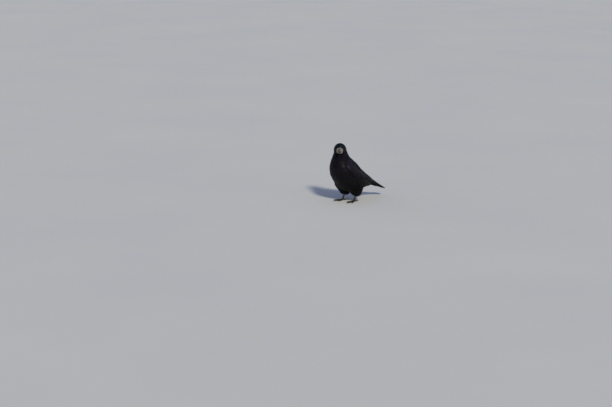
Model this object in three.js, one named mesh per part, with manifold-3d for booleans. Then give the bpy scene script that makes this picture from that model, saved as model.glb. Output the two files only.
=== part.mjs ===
// A life-size standing rook (Corvus frugilegus), parted where its parts are named.
// Millimetres, +Z up. The bird faces -Y and its left side is +X.
// Its head is turned to its own left, so that it looks past its left shoulder's front.
import * as THREE from "three";
import { mergeVertices } from "three/addons/utils/BufferGeometryUtils.js";
import Module from "manifold-3d";

const wasm = await Module();
wasm.setup();

// ---------- driving dimensions ----------
const GAP = 0.3; // clear space between neighbouring pieces
const HEAD_AT = { forward: 79, height: 249 }; // middle of the head, on the bird's midline
const HEAD_YAW = 47; // degrees that the head is turned to the bird's left
const HEAD_PITCH = 9; // degrees that the bill is raised
const BILL = {
  start: 23,
  tip: 86,
  gape: -3, // height of the closed mouth's line
  upperDepth: 11.5,
  lowerDepth: 7.5,
  halfWidth: 8.2,
  edge: 0.9, // left of its depth and half width at the tip
  droop: 3.4, // how far the tip bends down
  overhang: 3, // how far the upper half reaches past the lower one
};
const EYE = { radius: 6, forward: 12.5, side: 16.4, height: 7.5 };
const FACE = { forward: 47.5, height: -4, radius: 31 }; // ball whose skin parts bare face from feathers
const STANCE = { ankleSide: 29, footSide: 31, ankleForward: -8, footForward: 15, toeOut: 9 };
const STEP = { left: 2, right: 20 }; // how far forward each leg is put
const TARSUS = { ankleHeight: 56, footHeight: 7, radius: 3.1, joint: 4.6 };
const TOES = {
  inner: { angle: 27, length: 30, claw: 12 },
  middle: { angle: 0, length: 40, claw: 14 },
  outer: { angle: -27, length: 31, claw: 12 },
  hind: { angle: 176, length: 21, claw: 17 },
};
const TOE_RADIUS = 3.3;
const FLAT = 0.45; // how far each toe's pads are pressed into the floor, which makes its flats

const black = (name, roughness, color) => {
  const made = new THREE.MeshStandardMaterial({ color, roughness, metalness: 0 });
  made.name = name;
  return made;
};
const PLUMAGE = black("plumage", 0.5, 0x14131a);
const FLIGHT = black("flight_feathers", 0.4, 0x121118);
const BARE_SKIN = black("bare_skin", 0.75, 0x9a938a);
const HORN = black("bill_horn", 0.45, 0x3a3836);
const LEG = black("leg_scales", 0.6, 0x17161a);
const CLAW = black("claw", 0.35, 0x0f0f11);
const EYEBALL = black("eye", 0.08, 0x120c09);

// ---------- making closed shapes ----------
// A point from the bird's own words: left of the midline, forward, and above the floor.
const place = (left, forward, up) => new THREE.Vector3(left, -forward, up);

// Closes a row of rings, each the same number of points, with a pole at each end.
function closeRings(rings, first, last) {
  const points = [first, ...rings.flat(), last];
  const n = rings[0].length;
  const end = points.length - 1;
  const index = [];
  for (let k = 0; k < n; k++) {
    const next = (k + 1) % n;
    index.push(0, 1 + next, 1 + k);
    index.push(end, end - n + k, end - n + next);
    for (let r = 0; r < rings.length - 1; r++) {
      const a = 1 + r * n;
      index.push(a + k, a + next, a + n + k, a + next, a + n + next, a + n + k);
    }
  }
  const shape = new THREE.BufferGeometry().setFromPoints(points);
  shape.setIndex(index);
  return shape;
}

// A smooth value through a list of numbers, for t from 0 to 1.
function smoothly(values) {
  const curve = new THREE.CatmullRomCurve3(values.map((v, i) => new THREE.Vector3(v, i * 50, 0)));
  return (t) => curve.getPoint(t).x;
}

// How full a section is at t, which rounds a shape's two ends over the shares in caps.
function fullness(t, [start, end]) {
  const a = t < start ? 1 - t / start : 0;
  const b = t > 1 - end ? 1 - (1 - t) / end : 0;
  return Math.sqrt(Math.max(0, 1 - a * a) * Math.max(0, 1 - b * b));
}

// Lofts oval sections. Each station has a top and a bottom point, a half width, and a yaw if it is turned.
// grow adds to every side, for cutting a neighbour back.
function loft({ stations, around, along, caps, round, grow }) {
  const top = new THREE.CatmullRomCurve3(stations.map((s) => s.top));
  const bottom = new THREE.CatmullRomCurve3(stations.map((s) => s.bottom));
  const half = smoothly(stations.map((s) => s.half));
  const side = smoothly(stations.map((s) => s.yaw ?? 0));
  const rings = [];
  const spots = [];
  const crowded = 0.55; // how far the sections crowd towards the two ends
  for (let i = 1; i < along; i++) {
    spots.push(((1 - Math.cos((Math.PI * i) / along)) / 2) * crowded + (i / along) * (1 - crowded));
  }
  const centre = (t) => top.getPoint(t).add(bottom.getPoint(t)).multiplyScalar(0.5);
  for (const t of spots) {
    const up = top.getPoint(t).sub(bottom.getPoint(t)).multiplyScalar(0.5);
    const high = up.length();
    up.normalize();
    const yaw = THREE.MathUtils.degToRad(side(t));
    const across = new THREE.Vector3(Math.cos(yaw), Math.sin(yaw), 0);
    const full = fullness(t, caps);
    const ring = [];
    for (let k = 0; k < around; k++) {
      const a = (2 * Math.PI * k) / around;
      const [c, s] = [Math.cos(a), Math.sin(a)];
      const x = Math.sign(c) * Math.abs(c) ** (2 / round) * (half(t) * full + grow);
      const y = Math.sign(s) * Math.abs(s) ** (2 / round) * (high * full + grow);
      ring.push(centre(t).addScaledVector(across, x).addScaledVector(up, y));
    }
    rings.push(ring);
  }
  const along0 = centre(0).sub(centre(0.02)).normalize();
  const along1 = centre(1).sub(centre(0.98)).normalize();
  return closeRings(rings, centre(0).addScaledVector(along0, grow), centre(1).addScaledVector(along1, grow));
}

// A round limb through points, with a radius at each. flat is its width as a share of its depth.
function limb({ points, radii, around, along, caps, flat = 1, grow }) {
  const curve = new THREE.CatmullRomCurve3(points);
  const radius = smoothly(radii);
  const rings = [];
  for (let i = 1; i < along; i++) {
    const t = i / along;
    const ahead = curve.getTangent(t);
    const across = new THREE.Vector3(-ahead.y, ahead.x, 0).normalize();
    const up = new THREE.Vector3().crossVectors(across, ahead).normalize();
    const r = radius(t) * fullness(t, caps) + grow;
    const ring = [];
    for (let k = 0; k < around; k++) {
      const a = (2 * Math.PI * (k + 0.5)) / around;
      const sideways = curve.getPoint(t).addScaledVector(across, r * flat * Math.cos(a));
      ring.push(sideways.addScaledVector(up, r * Math.sin(a)));
    }
    rings.push(ring);
  }
  const back = curve.getTangent(0).multiplyScalar(-grow);
  const ahead = curve.getTangent(1).multiplyScalar(grow);
  return closeRings(rings, curve.getPoint(0).add(back), curve.getPoint(1).add(ahead));
}

// ---------- joining and cutting ----------
function solid(shape) {
  const bare = shape.clone();
  bare.deleteAttribute("normal");
  bare.deleteAttribute("uv");
  const merged = mergeVertices(bare, 1e-4);
  const vertProperties = merged.attributes.position.array;
  const make = (triVerts) => new wasm.Manifold(new wasm.Mesh({ numProp: 3, vertProperties, triVerts }));
  const triVerts = new Uint32Array(merged.index.array);
  const made = make(triVerts);
  return made.volume() > 0 ? made : make(triVerts.slice().reverse());
}

const cut = (whole, ...tools) => tools.reduce((left, tool) => left.subtract(tool), whole);

// The piece of a solid with the most material in it, which leaves slivers of a cut behind.
const largest = (whole) => whole.decompose().sort((a, b) => b.volume() - a.volume())[0];

// A large block whose one face is a plane through at, facing against normal.
function halfSpace(at, normal, inset) {
  const size = 600;
  const block = new THREE.BoxGeometry(size, size, size);
  block.translate(0, 0, size / 2 + inset);
  const up = new THREE.Vector3(0, 0, 1);
  block.applyQuaternion(new THREE.Quaternion().setFromUnitVectors(up, normal.clone().normalize()));
  block.translate(at.x, at.y, at.z);
  return solid(block);
}

// Both sides of a thin plane cut: [the side that normal points to, the other side].
function part(whole, at, normal) {
  const ahead = halfSpace(at, normal, GAP / 2);
  const behind = halfSpace(at, normal.clone().negate(), GAP / 2);
  return [largest(whole.intersect(ahead)), largest(whole.intersect(behind))];
}

function meshOf(name, made, material) {
  const { vertProperties, triVerts, numProp } = made.getMesh();
  const shape = new THREE.BufferGeometry();
  const count = vertProperties.length / numProp;
  const points = new Float32Array(count * 3);
  for (let i = 0; i < count; i++) {
    points.set(vertProperties.subarray(i * numProp, i * numProp + 3), i * 3);
  }
  shape.setAttribute("position", new THREE.BufferAttribute(points, 3));
  shape.setIndex(new THREE.BufferAttribute(triVerts, 1));
  shape.computeVertexNormals();
  const mesh = new THREE.Mesh(shape, material);
  mesh.name = name;
  return mesh;
}

// ---------- neck and trunk: one loft from inside the head to the tail's root ----------
const NECK_AXIS = 77; // how far forward the neck turns about
function bodyStation(back, belly, half, yaw = 0) {
  const turned = ([forward, up]) => {
    const a = THREE.MathUtils.degToRad(yaw);
    const ahead = forward - NECK_AXIS;
    return place(ahead * Math.sin(a), NECK_AXIS + ahead * Math.cos(a), up);
  };
  return { top: turned(back), bottom: turned(belly), half, yaw };
}
const BODY = [
  bodyStation([57, 264], [89, 259], 20, 42),
  bodyStation([50, 246], [94, 240], 29, 38),
  bodyStation([41, 227], [104, 219], 36, 26),
  bodyStation([22, 208], [115, 198], 45, 12),
  bodyStation([2, 190], [121, 172], 55, 3),
  bodyStation([-16, 172], [118, 138], 61),
  bodyStation([-32, 153], [98, 101], 62),
  bodyStation([-47, 135], [68, 73], 60),
  bodyStation([-64, 117], [27, 56], 52),
  bodyStation([-83, 101], [-20, 57], 40),
  bodyStation([-103, 87], [-62, 62], 28),
  bodyStation([-124, 76], [-102, 60], 18),
];
const body = (grow = 0) =>
  loft({ stations: BODY, around: 24, along: 23, caps: [0.06, 0.08], round: 2.25, grow });

// ---------- head, in its own frame: forward along the bill, then turned and placed ----------
const headFrame = new THREE.Matrix4()
  .makeTranslation(place(0, HEAD_AT.forward, HEAD_AT.height))
  .multiply(new THREE.Matrix4().makeRotationZ(THREE.MathUtils.degToRad(HEAD_YAW)))
  .multiply(new THREE.Matrix4().makeRotationX(THREE.MathUtils.degToRad(-HEAD_PITCH)));
const inHead = (shape) => shape.applyMatrix4(headFrame);
const headStation = (forward, top, bottom, half) => ({
  top: place(0, forward, top),
  bottom: place(0, forward, bottom),
  half,
});
const HEAD = [
  headStation(30, 4, -12, 8.5),
  headStation(25.5, 13, -15.5, 14.5),
  headStation(18, 22.5, -19, 19.5),
  headStation(8, 30.5, -23, 24),
  headStation(-4, 34, -27, 27.5),
  headStation(-16, 31.5, -30, 28.5),
  headStation(-26, 22.5, -30, 24),
  headStation(-32, 10, -27, 15.5),
];
const head = (grow = 0) =>
  inHead(loft({ stations: HEAD, around: 20, along: 13, caps: [0.1, 0.16], round: 2, grow }));

// One half of the bill: an arch over a flat gape, or a keel under it. Both bend down a little to the tip.
function bill(upper, grow = 0) {
  const { start, tip, gape, halfWidth, droop, edge } = BILL;
  const sign = upper ? 1 : -1;
  const depth = upper ? BILL.upperDepth : BILL.lowerDepth;
  const taper = upper ? 2.3 : 1.5; // how late the depth falls away
  const end = upper ? tip : tip - BILL.overhang;
  const lip = (forward) => gape - droop * ((forward - start) / (tip - start)) ** 3 + (sign * (GAP - grow)) / 2;
  const [along, arch] = [11, 9];
  const rings = [];
  for (let i = 0; i < along; i++) {
    const share = i / along;
    const forward = start + (end - start) * share;
    const thick = depth * (1 - share ** taper) + edge + grow;
    const half = halfWidth * (1 - share) ** 0.92 + edge + grow;
    const ring = [];
    for (let k = 0; k < arch; k++) {
      const a = (Math.PI * k) / (arch - 1);
      const x = Math.sign(Math.cos(a)) * Math.abs(Math.cos(a)) ** 0.85 * half;
      ring.push(place(x, forward, lip(forward) + sign * Math.sin(a) ** 1.1 * thick));
    }
    ring.push(place(0, forward, lip(forward)));
    rings.push(ring);
  }
  const base = place(0, start - grow, gape + (sign * depth) / 3);
  const point = place(0, end + grow, lip(end) + (sign * edge) / 2);
  return inHead(closeRings(rings, base, point));
}

function eye(side, grow = 0) {
  const ball = new THREE.IcosahedronGeometry(EYE.radius + grow, 2);
  const at = place(side * EYE.side, EYE.forward, EYE.height);
  return inHead(ball.translate(at.x, at.y, at.z));
}

function faceBall(grow = 0) {
  const ball = new THREE.SphereGeometry(FACE.radius + grow, 18, 12);
  ball.translate(0, -FACE.forward, FACE.height);
  return inHead(ball);
}

// ---------- folded wing: a leaf over the flank from the wing's bend to the longest primary ----------
// Its upper edge, its outermost line and its lower edge, each as left, forward and up, and how thick it is.
const WING = [
  { upper: [48, 80, 197], outer: [57, 85, 185], lower: [55, 82, 173], thick: 15 },
  { upper: [39, 55, 207], outer: [65, 66, 173], lower: [64, 60, 145], thick: 18 },
  { upper: [27, 20, 195], outer: [68, 32, 155], lower: [65, 26, 122], thick: 18 },
  { upper: [16, -15, 168], outer: [63, -8, 134], lower: [59, -16, 104], thick: 16 },
  { upper: [9, -50, 142], outer: [51, -50, 113], lower: [46, -56, 91], thick: 14 },
  { upper: [6, -90, 110], outer: [36, -92, 92], lower: [34, -96, 77], thick: 11 },
  { upper: [6, -134, 78], outer: [24, -136, 69], lower: [24, -138, 61], thick: 7 },
  { upper: [8, -183, 47.5], outer: [13, -184, 45.5], lower: [15, -184, 44], thick: 3 },
];

function wing(side, grow = 0) {
  const mirrored = ([left, forward, up]) => place(side * left, forward, up);
  const line = (edge) => new THREE.CatmullRomCurve3(WING.map((station) => mirrored(station[edge])));
  const [upper, outer, lower] = ["upper", "outer", "lower"].map(line);
  const thick = smoothly(WING.map((station) => station.thick));
  const [along, across] = [16, 7];
  const rings = [];
  for (let i = 0; i <= along; i++) {
    const t = (i + 0.15) / (along + 0.15);
    const [u, o, l] = [upper, outer, lower].map((curve) => curve.getPoint(t));
    const middle = o.clone().multiplyScalar(2).sub(u.clone().add(l).multiplyScalar(0.5));
    const arc = new THREE.QuadraticBezierCurve3(u, middle, l);
    const inward = u.clone().add(l).multiplyScalar(0.5).sub(o);
    const chord = l.clone().sub(u).normalize();
    inward.addScaledVector(chord, -inward.dot(chord)).normalize();
    const full = fullness(t, [0.07, 0.02]);
    const ring = [];
    for (let k = 0; k < across; k++) ring.push(arc.getPoint(k / (across - 1)).addScaledVector(inward, -grow));
    for (let k = across - 2; k > 0; k--) {
      const share = k / (across - 1);
      const depth = thick(t) * (0.35 + 0.65 * Math.sin(Math.PI * share)) * Math.max(full, 0.4) + 2 * grow;
      ring.push(arc.getPoint(share).addScaledVector(inward, depth - grow));
    }
    ring[0].addScaledVector(chord, -grow);
    ring[across - 1].addScaledVector(chord, grow);
    rings.push(ring);
  }
  const sum = (ring) => ring.reduce((total, p) => total.add(p), new THREE.Vector3());
  const middleOf = (ring) => sum(ring).divideScalar(ring.length);
  const front = middleOf(rings[0]).add(place(0, 4 + grow, 0));
  const rear = middleOf(rings.at(-1)).add(place(0, -4 - grow, -1));
  return closeRings(rings, front, rear);
}

// ---------- closed tail: a thin, slightly roofed fan ----------
const TAIL = [
  { top: place(0, -84, 94), bottom: place(0, -80, 72), half: 18 },
  { top: place(0, -112, 81), bottom: place(0, -110, 64), half: 22 },
  { top: place(0, -145, 64), bottom: place(0, -144, 53.5), half: 27 },
  { top: place(0, -172, 50.5), bottom: place(0, -171, 45), half: 29 },
  { top: place(0, -191, 42.5), bottom: place(0, -190.5, 39.5), half: 24 },
];
const tail = (grow = 0) =>
  loft({ stations: TAIL, around: 14, along: 10, caps: [0.08, 0.2], round: 2.3, grow });

// ---------- legs ----------
const stepOf = (side) => (side > 0 ? STEP.left : STEP.right);

// The baggy feathered thigh, from inside the flank to just above the shank. Its levels go down.
function thigh(side, grow = 0) {
  const level = (front, back, up, out, half) => ({
    top: place(side * out, front + stepOf(side), up),
    bottom: place(side * out, back + stepOf(side), up - 3),
    half,
  });
  const stations = [
    level(56, -6, 122, 30, 25),
    level(58, -27, 98, 32, 30),
    level(46, -34, 76, 31, 28),
    level(35, -30, 58, 29.5, 24.5),
    level(26, -23, 43, 29.5, 19.5),
    level(13, -12, 34, 29.5, 12),
  ];
  return loft({ stations, around: 16, along: 11, caps: [0.2, 0.12], round: 2, grow });
}

const ankle = (side) =>
  place(side * STANCE.ankleSide, STANCE.ankleForward + stepOf(side), TARSUS.ankleHeight);
const foot = (side) =>
  place(side * STANCE.footSide, STANCE.footForward + stepOf(side), TARSUS.footHeight);

function tarsus(side, grow = 0) {
  const [a, f] = [ankle(side), foot(side)];
  const between = (share) => a.clone().lerp(f, share);
  return limb({
    points: [between(-0.06), between(0.1), between(0.3), between(0.7), between(0.92), between(1.04)],
    radii: [TARSUS.joint, TARSUS.joint, TARSUS.radius, TARSUS.radius, TARSUS.joint, TARSUS.joint * 0.9],
    around: 12,
    along: 10,
    caps: [0.1, 0.1],
    flat: 0.85,
    grow,
  });
}

// The direction on the floor of one toe of one foot.
function toeHeading(side, angle) {
  const a = THREE.MathUtils.degToRad(side * (STANCE.toeOut - angle));
  return place(Math.sin(a), Math.cos(a), 0);
}

function toe(side, { angle, length }, grow = 0) {
  const heading = toeHeading(side, angle);
  const root = foot(side);
  const at = (share, height) => root.clone().setZ(height).addScaledVector(heading, length * share);
  const r = TOE_RADIUS;
  return limb({
    points: [
      at(-0.02, 6.2),
      at(0.18, 4.6),
      at(0.42, r - FLAT),
      at(0.66, r - FLAT * 0.8),
      at(0.86, r * 0.9 - FLAT),
      at(1, r * 0.82 - FLAT),
    ],
    radii: [r * 1.15, r * 1.02, r, r * 0.92, r * 0.9, r * 0.78],
    around: 8,
    along: 7,
    caps: [0.1, 0.12],
    grow,
  });
}

function claw(side, { angle, length, claw: reach }, grow = 0) {
  const heading = toeHeading(side, angle);
  const root = foot(side);
  const at = (distance, height) => root.clone().setZ(height).addScaledVector(heading, length + distance);
  return limb({
    points: [at(-2.5, 2.6), at(reach * 0.3, 3.9), at(reach * 0.66, 3.1), at(reach * 0.92, 0.75)],
    radii: [1.7, 1.75, 1.15, 0.45],
    around: 8,
    along: 6,
    caps: [0.1, 0.05],
    grow,
  });
}

// ---------- cutting the pieces to one another ----------
const bird = new THREE.Group();
const add = (group, name, made, material) => group.add(meshOf(name, made, material));
const named = (side) => (side > 0 ? "left" : "right");
const SIDES = [1, -1];

const headGroup = new THREE.Group();
const [headSolid, faceBlock] = [solid(head()), solid(faceBall())];
const bills = { upper: solid(bill(true)), lower: solid(bill(false)) };
const billTools = [solid(bill(true, GAP)), solid(bill(false, GAP))];
const eyeTools = SIDES.map((side) => solid(eye(side, GAP)));
add(headGroup, "head", largest(cut(headSolid, solid(faceBall(GAP)), ...eyeTools, ...billTools)), PLUMAGE);
add(headGroup, "face", largest(cut(headSolid.intersect(faceBlock), ...eyeTools, ...billTools)), BARE_SKIN);
add(headGroup, "bill_upper", bills.upper, HORN);
add(headGroup, "bill_lower", largest(cut(bills.lower, billTools[0])), HORN);
for (const side of SIDES) add(headGroup, `eye_${named(side)}`, solid(eye(side)), EYEBALL);

const headTool = solid(head(GAP));
const NECK_CUT = { at: place(0, 72, 205), normal: place(-0.1, 0.35, 1) };
const RUMP_CUT = { at: place(0, -66, 90), normal: place(0, -0.8, -0.6) };
const headless = largest(cut(solid(body()), headTool));
const [neck, belowNeck] = part(headless, NECK_CUT.at, NECK_CUT.normal);
const [rump, trunk] = part(belowNeck, RUMP_CUT.at, RUMP_CUT.normal);
const trunkGroup = new THREE.Group();
add(trunkGroup, "neck", neck, PLUMAGE);
add(trunkGroup, "trunk", trunk, PLUMAGE);
add(trunkGroup, "rump", rump, PLUMAGE);

const bodyTool = solid(body(GAP));
const tailTool = solid(tail(GAP));
add(trunkGroup, "tail", largest(cut(solid(tail()), bodyTool)), FLIGHT);

const WING_CUTS = {
  coverts: { at: place(50, 6, 140), normal: place(0.1, -1, -0.1) },
  primaries: { at: place(30, -92, 95), normal: place(0, -0.9, -0.35) },
};
for (const side of SIDES) {
  const group = new THREE.Group();
  const whole = largest(cut(solid(wing(side)), bodyTool, tailTool));
  const mirrored = (v) => new THREE.Vector3(side * v.x, v.y, v.z);
  const partAt = (piece, { at, normal }) => part(piece, mirrored(at), mirrored(normal));
  const [rear, coverts] = partAt(whole, WING_CUTS.coverts);
  const [primaries, secondaries] = partAt(rear, WING_CUTS.primaries);
  add(group, `wing_${named(side)}_coverts`, coverts, PLUMAGE);
  add(group, `wing_${named(side)}_secondaries`, secondaries, FLIGHT);
  add(group, `wing_${named(side)}_primaries`, primaries, FLIGHT);
  bird.add(group);
}

const floor = halfSpace(new THREE.Vector3(), new THREE.Vector3(0, 0, -1), 0);
for (const side of SIDES) {
  const group = new THREE.Group();
  const wingTool = solid(wing(side, GAP));
  const thighTool = solid(thigh(side, GAP));
  const tarsusTool = solid(tarsus(side, GAP));
  add(group, `thigh_${named(side)}`, largest(cut(solid(thigh(side)), bodyTool, wingTool)), PLUMAGE);
  add(group, `tarsus_${named(side)}`, largest(cut(solid(tarsus(side)), thighTool, floor)), LEG);
  const done = [];
  for (const [name, sizes] of Object.entries(TOES)) {
    const clawTool = solid(claw(side, sizes, GAP));
    const made = cut(solid(toe(side, sizes)), tarsusTool, clawTool, floor, ...done);
    add(group, `toe_${named(side)}_${name}`, largest(made), LEG);
    add(group, `claw_${named(side)}_${name}`, largest(cut(solid(claw(side, sizes)), floor)), CLAW);
    done.push(solid(toe(side, sizes, GAP)));
  }
  bird.add(group);
}

bird.add(headGroup, trunkGroup);

// ---------- the part's origin: on the floor, under the middle of its box ----------
const bounds = new THREE.Box3().setFromObject(bird, true);
const middle = bounds.getCenter(new THREE.Vector3());
bird.position.set(-middle.x, -middle.y, -bounds.min.z);
const rook = new THREE.Group();
rook.add(bird);

export default rook;
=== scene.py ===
"""A life-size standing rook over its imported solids: one skin, feather vanes, horn, eyes and claws."""
import math
import random

import bmesh
import bpy
import numpy as np
from mathutils import Matrix, Vector, noise
from mathutils.bvhtree import BVHTree
from mathutils.kdtree import KDTree


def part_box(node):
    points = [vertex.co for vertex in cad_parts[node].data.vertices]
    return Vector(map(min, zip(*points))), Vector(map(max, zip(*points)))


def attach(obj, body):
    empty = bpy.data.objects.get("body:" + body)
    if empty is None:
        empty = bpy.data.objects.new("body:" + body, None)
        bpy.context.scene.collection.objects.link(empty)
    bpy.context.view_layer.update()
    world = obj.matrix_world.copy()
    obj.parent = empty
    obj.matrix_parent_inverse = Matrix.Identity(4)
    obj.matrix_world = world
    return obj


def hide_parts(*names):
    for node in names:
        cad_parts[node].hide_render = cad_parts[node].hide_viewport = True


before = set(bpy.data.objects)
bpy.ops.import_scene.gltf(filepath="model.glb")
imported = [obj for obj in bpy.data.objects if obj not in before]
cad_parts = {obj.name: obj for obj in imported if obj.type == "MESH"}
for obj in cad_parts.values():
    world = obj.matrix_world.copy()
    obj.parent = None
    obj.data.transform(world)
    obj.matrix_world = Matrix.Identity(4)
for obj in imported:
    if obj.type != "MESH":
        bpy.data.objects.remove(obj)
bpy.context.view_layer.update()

MM = 0.001
UP = Vector((0, 0, 1))
SIDES = {"left": 1, "right": -1}
TOES = ("inner", "middle", "outer", "hind")
dice = random.Random(7)
grains = np.random.default_rng(7)


# ---------- places, all from the frame ----------
def middle(node):
    low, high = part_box(node)
    return (Vector(low) + Vector(high)) / 2


EYE_AHEAD = 12.5  # the eyes, from the middle of the head, in millimetres
EYE_ABOVE = 7.5
EYE_RADIUS = (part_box("eye_left")[1][2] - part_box("eye_left")[0][2]) / 2
HEAD_PITCH = math.radians(9)
HEAD_SIDE = (middle("eye_left") - middle("eye_right")).normalized()
LEVEL_AHEAD = HEAD_SIDE.cross(UP).normalized()
HEAD_AHEAD = LEVEL_AHEAD * math.cos(HEAD_PITCH) + UP * math.sin(HEAD_PITCH)
HEAD_UP = UP * math.cos(HEAD_PITCH) - LEVEL_AHEAD * math.sin(HEAD_PITCH)
BETWEEN_EYES = (middle("eye_left") + middle("eye_right")) / 2
HEAD_MIDDLE = BETWEEN_EYES - (HEAD_AHEAD * EYE_AHEAD + HEAD_UP * EYE_ABOVE) * MM
HEAD_FORWARD = 79  # how far the middle of the head is ahead of the bird's own zero


def in_head(left, ahead, above):
    """A point from the middle of the head, in millimetres to its left, ahead and above."""
    return HEAD_MIDDLE + (HEAD_SIDE * left + HEAD_AHEAD * ahead + HEAD_UP * above) * MM


def bird(left, forward, above):
    """A point in millimetres to the bird's left of its midline, forward, and above the floor."""
    return Vector((left * MM, HEAD_MIDDLE.y + (HEAD_FORWARD - forward) * MM, above * MM))


def on_bird(points):
    """How far forward and how high each point of an array is, in millimetres."""
    return (HEAD_MIDDLE.y - points[..., 1]) / MM + HEAD_FORWARD, points[..., 2] / MM


def towards(forward, above):
    """A direction along the bird's midline."""
    return Vector((0, -forward, above)).normalized()


def mixed(first, last, share):
    return first + (last - first) * share


def unit(rows):
    """Each row of an array at a length of 1."""
    return rows / np.linalg.norm(rows, axis=1)[:, None]


def eased(share):
    """0 below 0, 1 above 1, and a smooth step between. Takes numbers or arrays."""
    held = np.clip(share, 0, 1)
    return held * held * (3 - 2 * held)


# ---------- materials ----------
class Worked:
    """A value worked out in a material. Sums on it add Math nodes."""

    def __init__(self, recipe, socket):
        self.recipe = recipe
        self.socket = socket

    def maths(self, operation, first, second):
        return self.recipe.add("Math", {"operation": operation}, {0: first, 1: second})

    def __add__(self, other):
        return self.maths("ADD", self, other)

    def __radd__(self, other):
        return self.maths("ADD", other, self)

    def __sub__(self, other):
        return self.maths("SUBTRACT", self, other)

    def __rsub__(self, other):
        return self.maths("SUBTRACT", other, self)

    def __mul__(self, other):
        return self.maths("MULTIPLY", self, other)

    def __rmul__(self, other):
        return self.maths("MULTIPLY", other, self)

    def __truediv__(self, other):
        return self.maths("DIVIDE", self, other)

    def __abs__(self):
        return self.maths("ABSOLUTE", self, 0.0)

    def between(self, low, high):
        """0 at low and 1 at high, smooth between."""
        settings = {"interpolation_type": "SMOOTHSTEP"}
        return self.recipe.add("MapRange", settings, {"Value": self, "From Min": low, "From Max": high})


def rgb(red, green, blue):
    return (red, green, blue, 1.0)


class Recipe:
    """One material's nodes. add() makes a node from its type, settings and inputs, and gives an output."""

    def __init__(self, name):
        self.material = bpy.data.materials.new(name)
        self.material.use_nodes = True
        self.tree = self.material.node_tree
        self.tree.nodes.clear()

    def add(self, kind, settings=None, inputs=None, output=0):
        node = self.tree.nodes.new("ShaderNode" + kind)
        for key, value in (settings or {}).items():
            if key == "stops":
                lay_stops(node.color_ramp, value)
            else:
                setattr(node, key, value)
        for key, value in (inputs or {}).items():
            if isinstance(value, Worked):
                self.tree.links.new(value.socket, node.inputs[key])
            else:
                node.inputs[key].default_value = value
        return Worked(self, node.outputs[output]) if node.outputs else None

    def blend(self, share, first, second):
        """A colour between two colours."""
        return self.add("Mix", {"data_type": "RGBA"}, {0: share, 6: first, 7: second}, output=2)

    def place(self):
        return self.add("TexCoord", output="Object")

    def noise(self, scale, detail=2.0, rough=0.5, at=None):
        inputs = {"Vector": at or self.place(), "Scale": scale, "Detail": detail, "Roughness": rough}
        return self.add("TexNoise", None, inputs)

    def cells(self, feature, scale, randomness=1.0):
        inputs = {"Vector": self.place(), "Scale": scale, "Randomness": randomness}
        return self.add("TexVoronoi", {"feature": feature}, inputs)

    def parts(self, vector):
        """A vector's three numbers."""
        node = self.add("SeparateXYZ", None, {"Vector": vector}).socket.node
        return [Worked(self, socket) for socket in node.outputs]

    def kept(self, name):
        """A number that the mesh keeps at each of its points."""
        return self.add("Attribute", {"attribute_name": name}, output="Fac")

    def bump(self, height, strength, distance=0.0004):
        return self.add("Bump", None, {"Height": height, "Strength": strength, "Distance": distance})

    def surface(self, inputs):
        shader = self.add("BsdfPrincipled", None, inputs)
        self.add("OutputMaterial", None, {"Surface": shader})
        return self.material


def lay_stops(ramp, stops):
    while len(ramp.elements) < len(stops):
        ramp.elements.new(1.0)
    for element, (position, colour) in zip(ramp.elements, stops):
        element.position = position
        element.color = (*colour, 1.0)


PER_METRE = 1000.0  # millimetres in a metre
BARBS = 2.4  # barbs to a millimetre
BARB_SLANT = 0.9  # how far a barb runs down the vane for each step out to its edge
TALLEST = 0.3  # the height that the stops of a gloss are measured against, in metres
BODY_GLOSS = (
    (0.07, (0.007, 0.0065, 0.008)),
    (0.14, (0.010, 0.009, 0.0135)),
    (0.2, (0.019, 0.014, 0.03)),
    (0.24, (0.022, 0.018, 0.045)),
    (0.262, (0.015, 0.046, 0.07)),
)
WING_GLOSS = ((0.05, (0.015, 0.018, 0.022)), (0.13, (0.020, 0.018, 0.032)), (0.2, (0.036, 0.027, 0.058)))
FLIGHT_GLOSS = ((0.04, (0.016, 0.018, 0.02)), (0.13, (0.018, 0.019, 0.028)))


def plumage(name, gloss, shine, rough, mirror=0.18, worn=rgb(0.02, 0.017, 0.015)):
    """Black feathers. gloss is a list of stops up the bird, each a height in metres and a colour.

    Fine lines across each vane are its barbs, and a smooth line down its middle is its shaft.
    """
    made = Recipe(name)
    along = made.kept("along")
    rim = made.kept("rim")
    tone = made.kept("tone")
    across, down, _ = made.parts(made.add("UVMap", {"uv_map": "vane"}))
    sideways = abs(across) * PER_METRE
    barb = down * PER_METRE - sideways * BARB_SLANT
    at = made.add("CombineXYZ", None, {"X": barb * BARBS, "Y": sideways * 0.32, "Z": tone * 60.0})
    barbs = made.noise(1.0, 2.0, 0.6, at=at)
    shaft = 1.0 - sideways.between(0.05, 0.3)
    cloud = made.noise(45.0, 3.0)
    _, _, height = made.parts(made.place())
    stops = [(level / TALLEST, colour) for level, colour in gloss]
    tint = made.add("ValToRGB", {"stops": stops}, {"Fac": height / TALLEST})
    black = made.blend(along.between(0.0, 0.5), rgb(0.0056, 0.0055, 0.0062), rgb(0.003, 0.0028, 0.0034))
    frayed = (along.between(0.86, 1.0) * 0.6 + rim.between(0.75, 1.0) * 0.4) * (0.35 + tone * 0.5)
    black = made.blend(frayed, black, worn)
    glint = (cloud * 0.7 + barbs * 0.45 + tone * 0.12 - 0.15).between(0.15, 0.95)
    colour = made.blend(glint, black, tint)
    return made.surface({
        "Base Color": colour,
        "Metallic": glint * shine,
        "Roughness": rough + barbs * 0.16 + tone * 0.05 - shaft * 0.08,
        "IOR": 1.5,
        "Specular IOR Level": mirror,
        "Specular Tint": rgb(1.0, 0.93, 0.94),
        "Normal": made.bump(barbs * 0.8 + shaft * 0.5, 0.5, 0.00022),
    })


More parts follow.
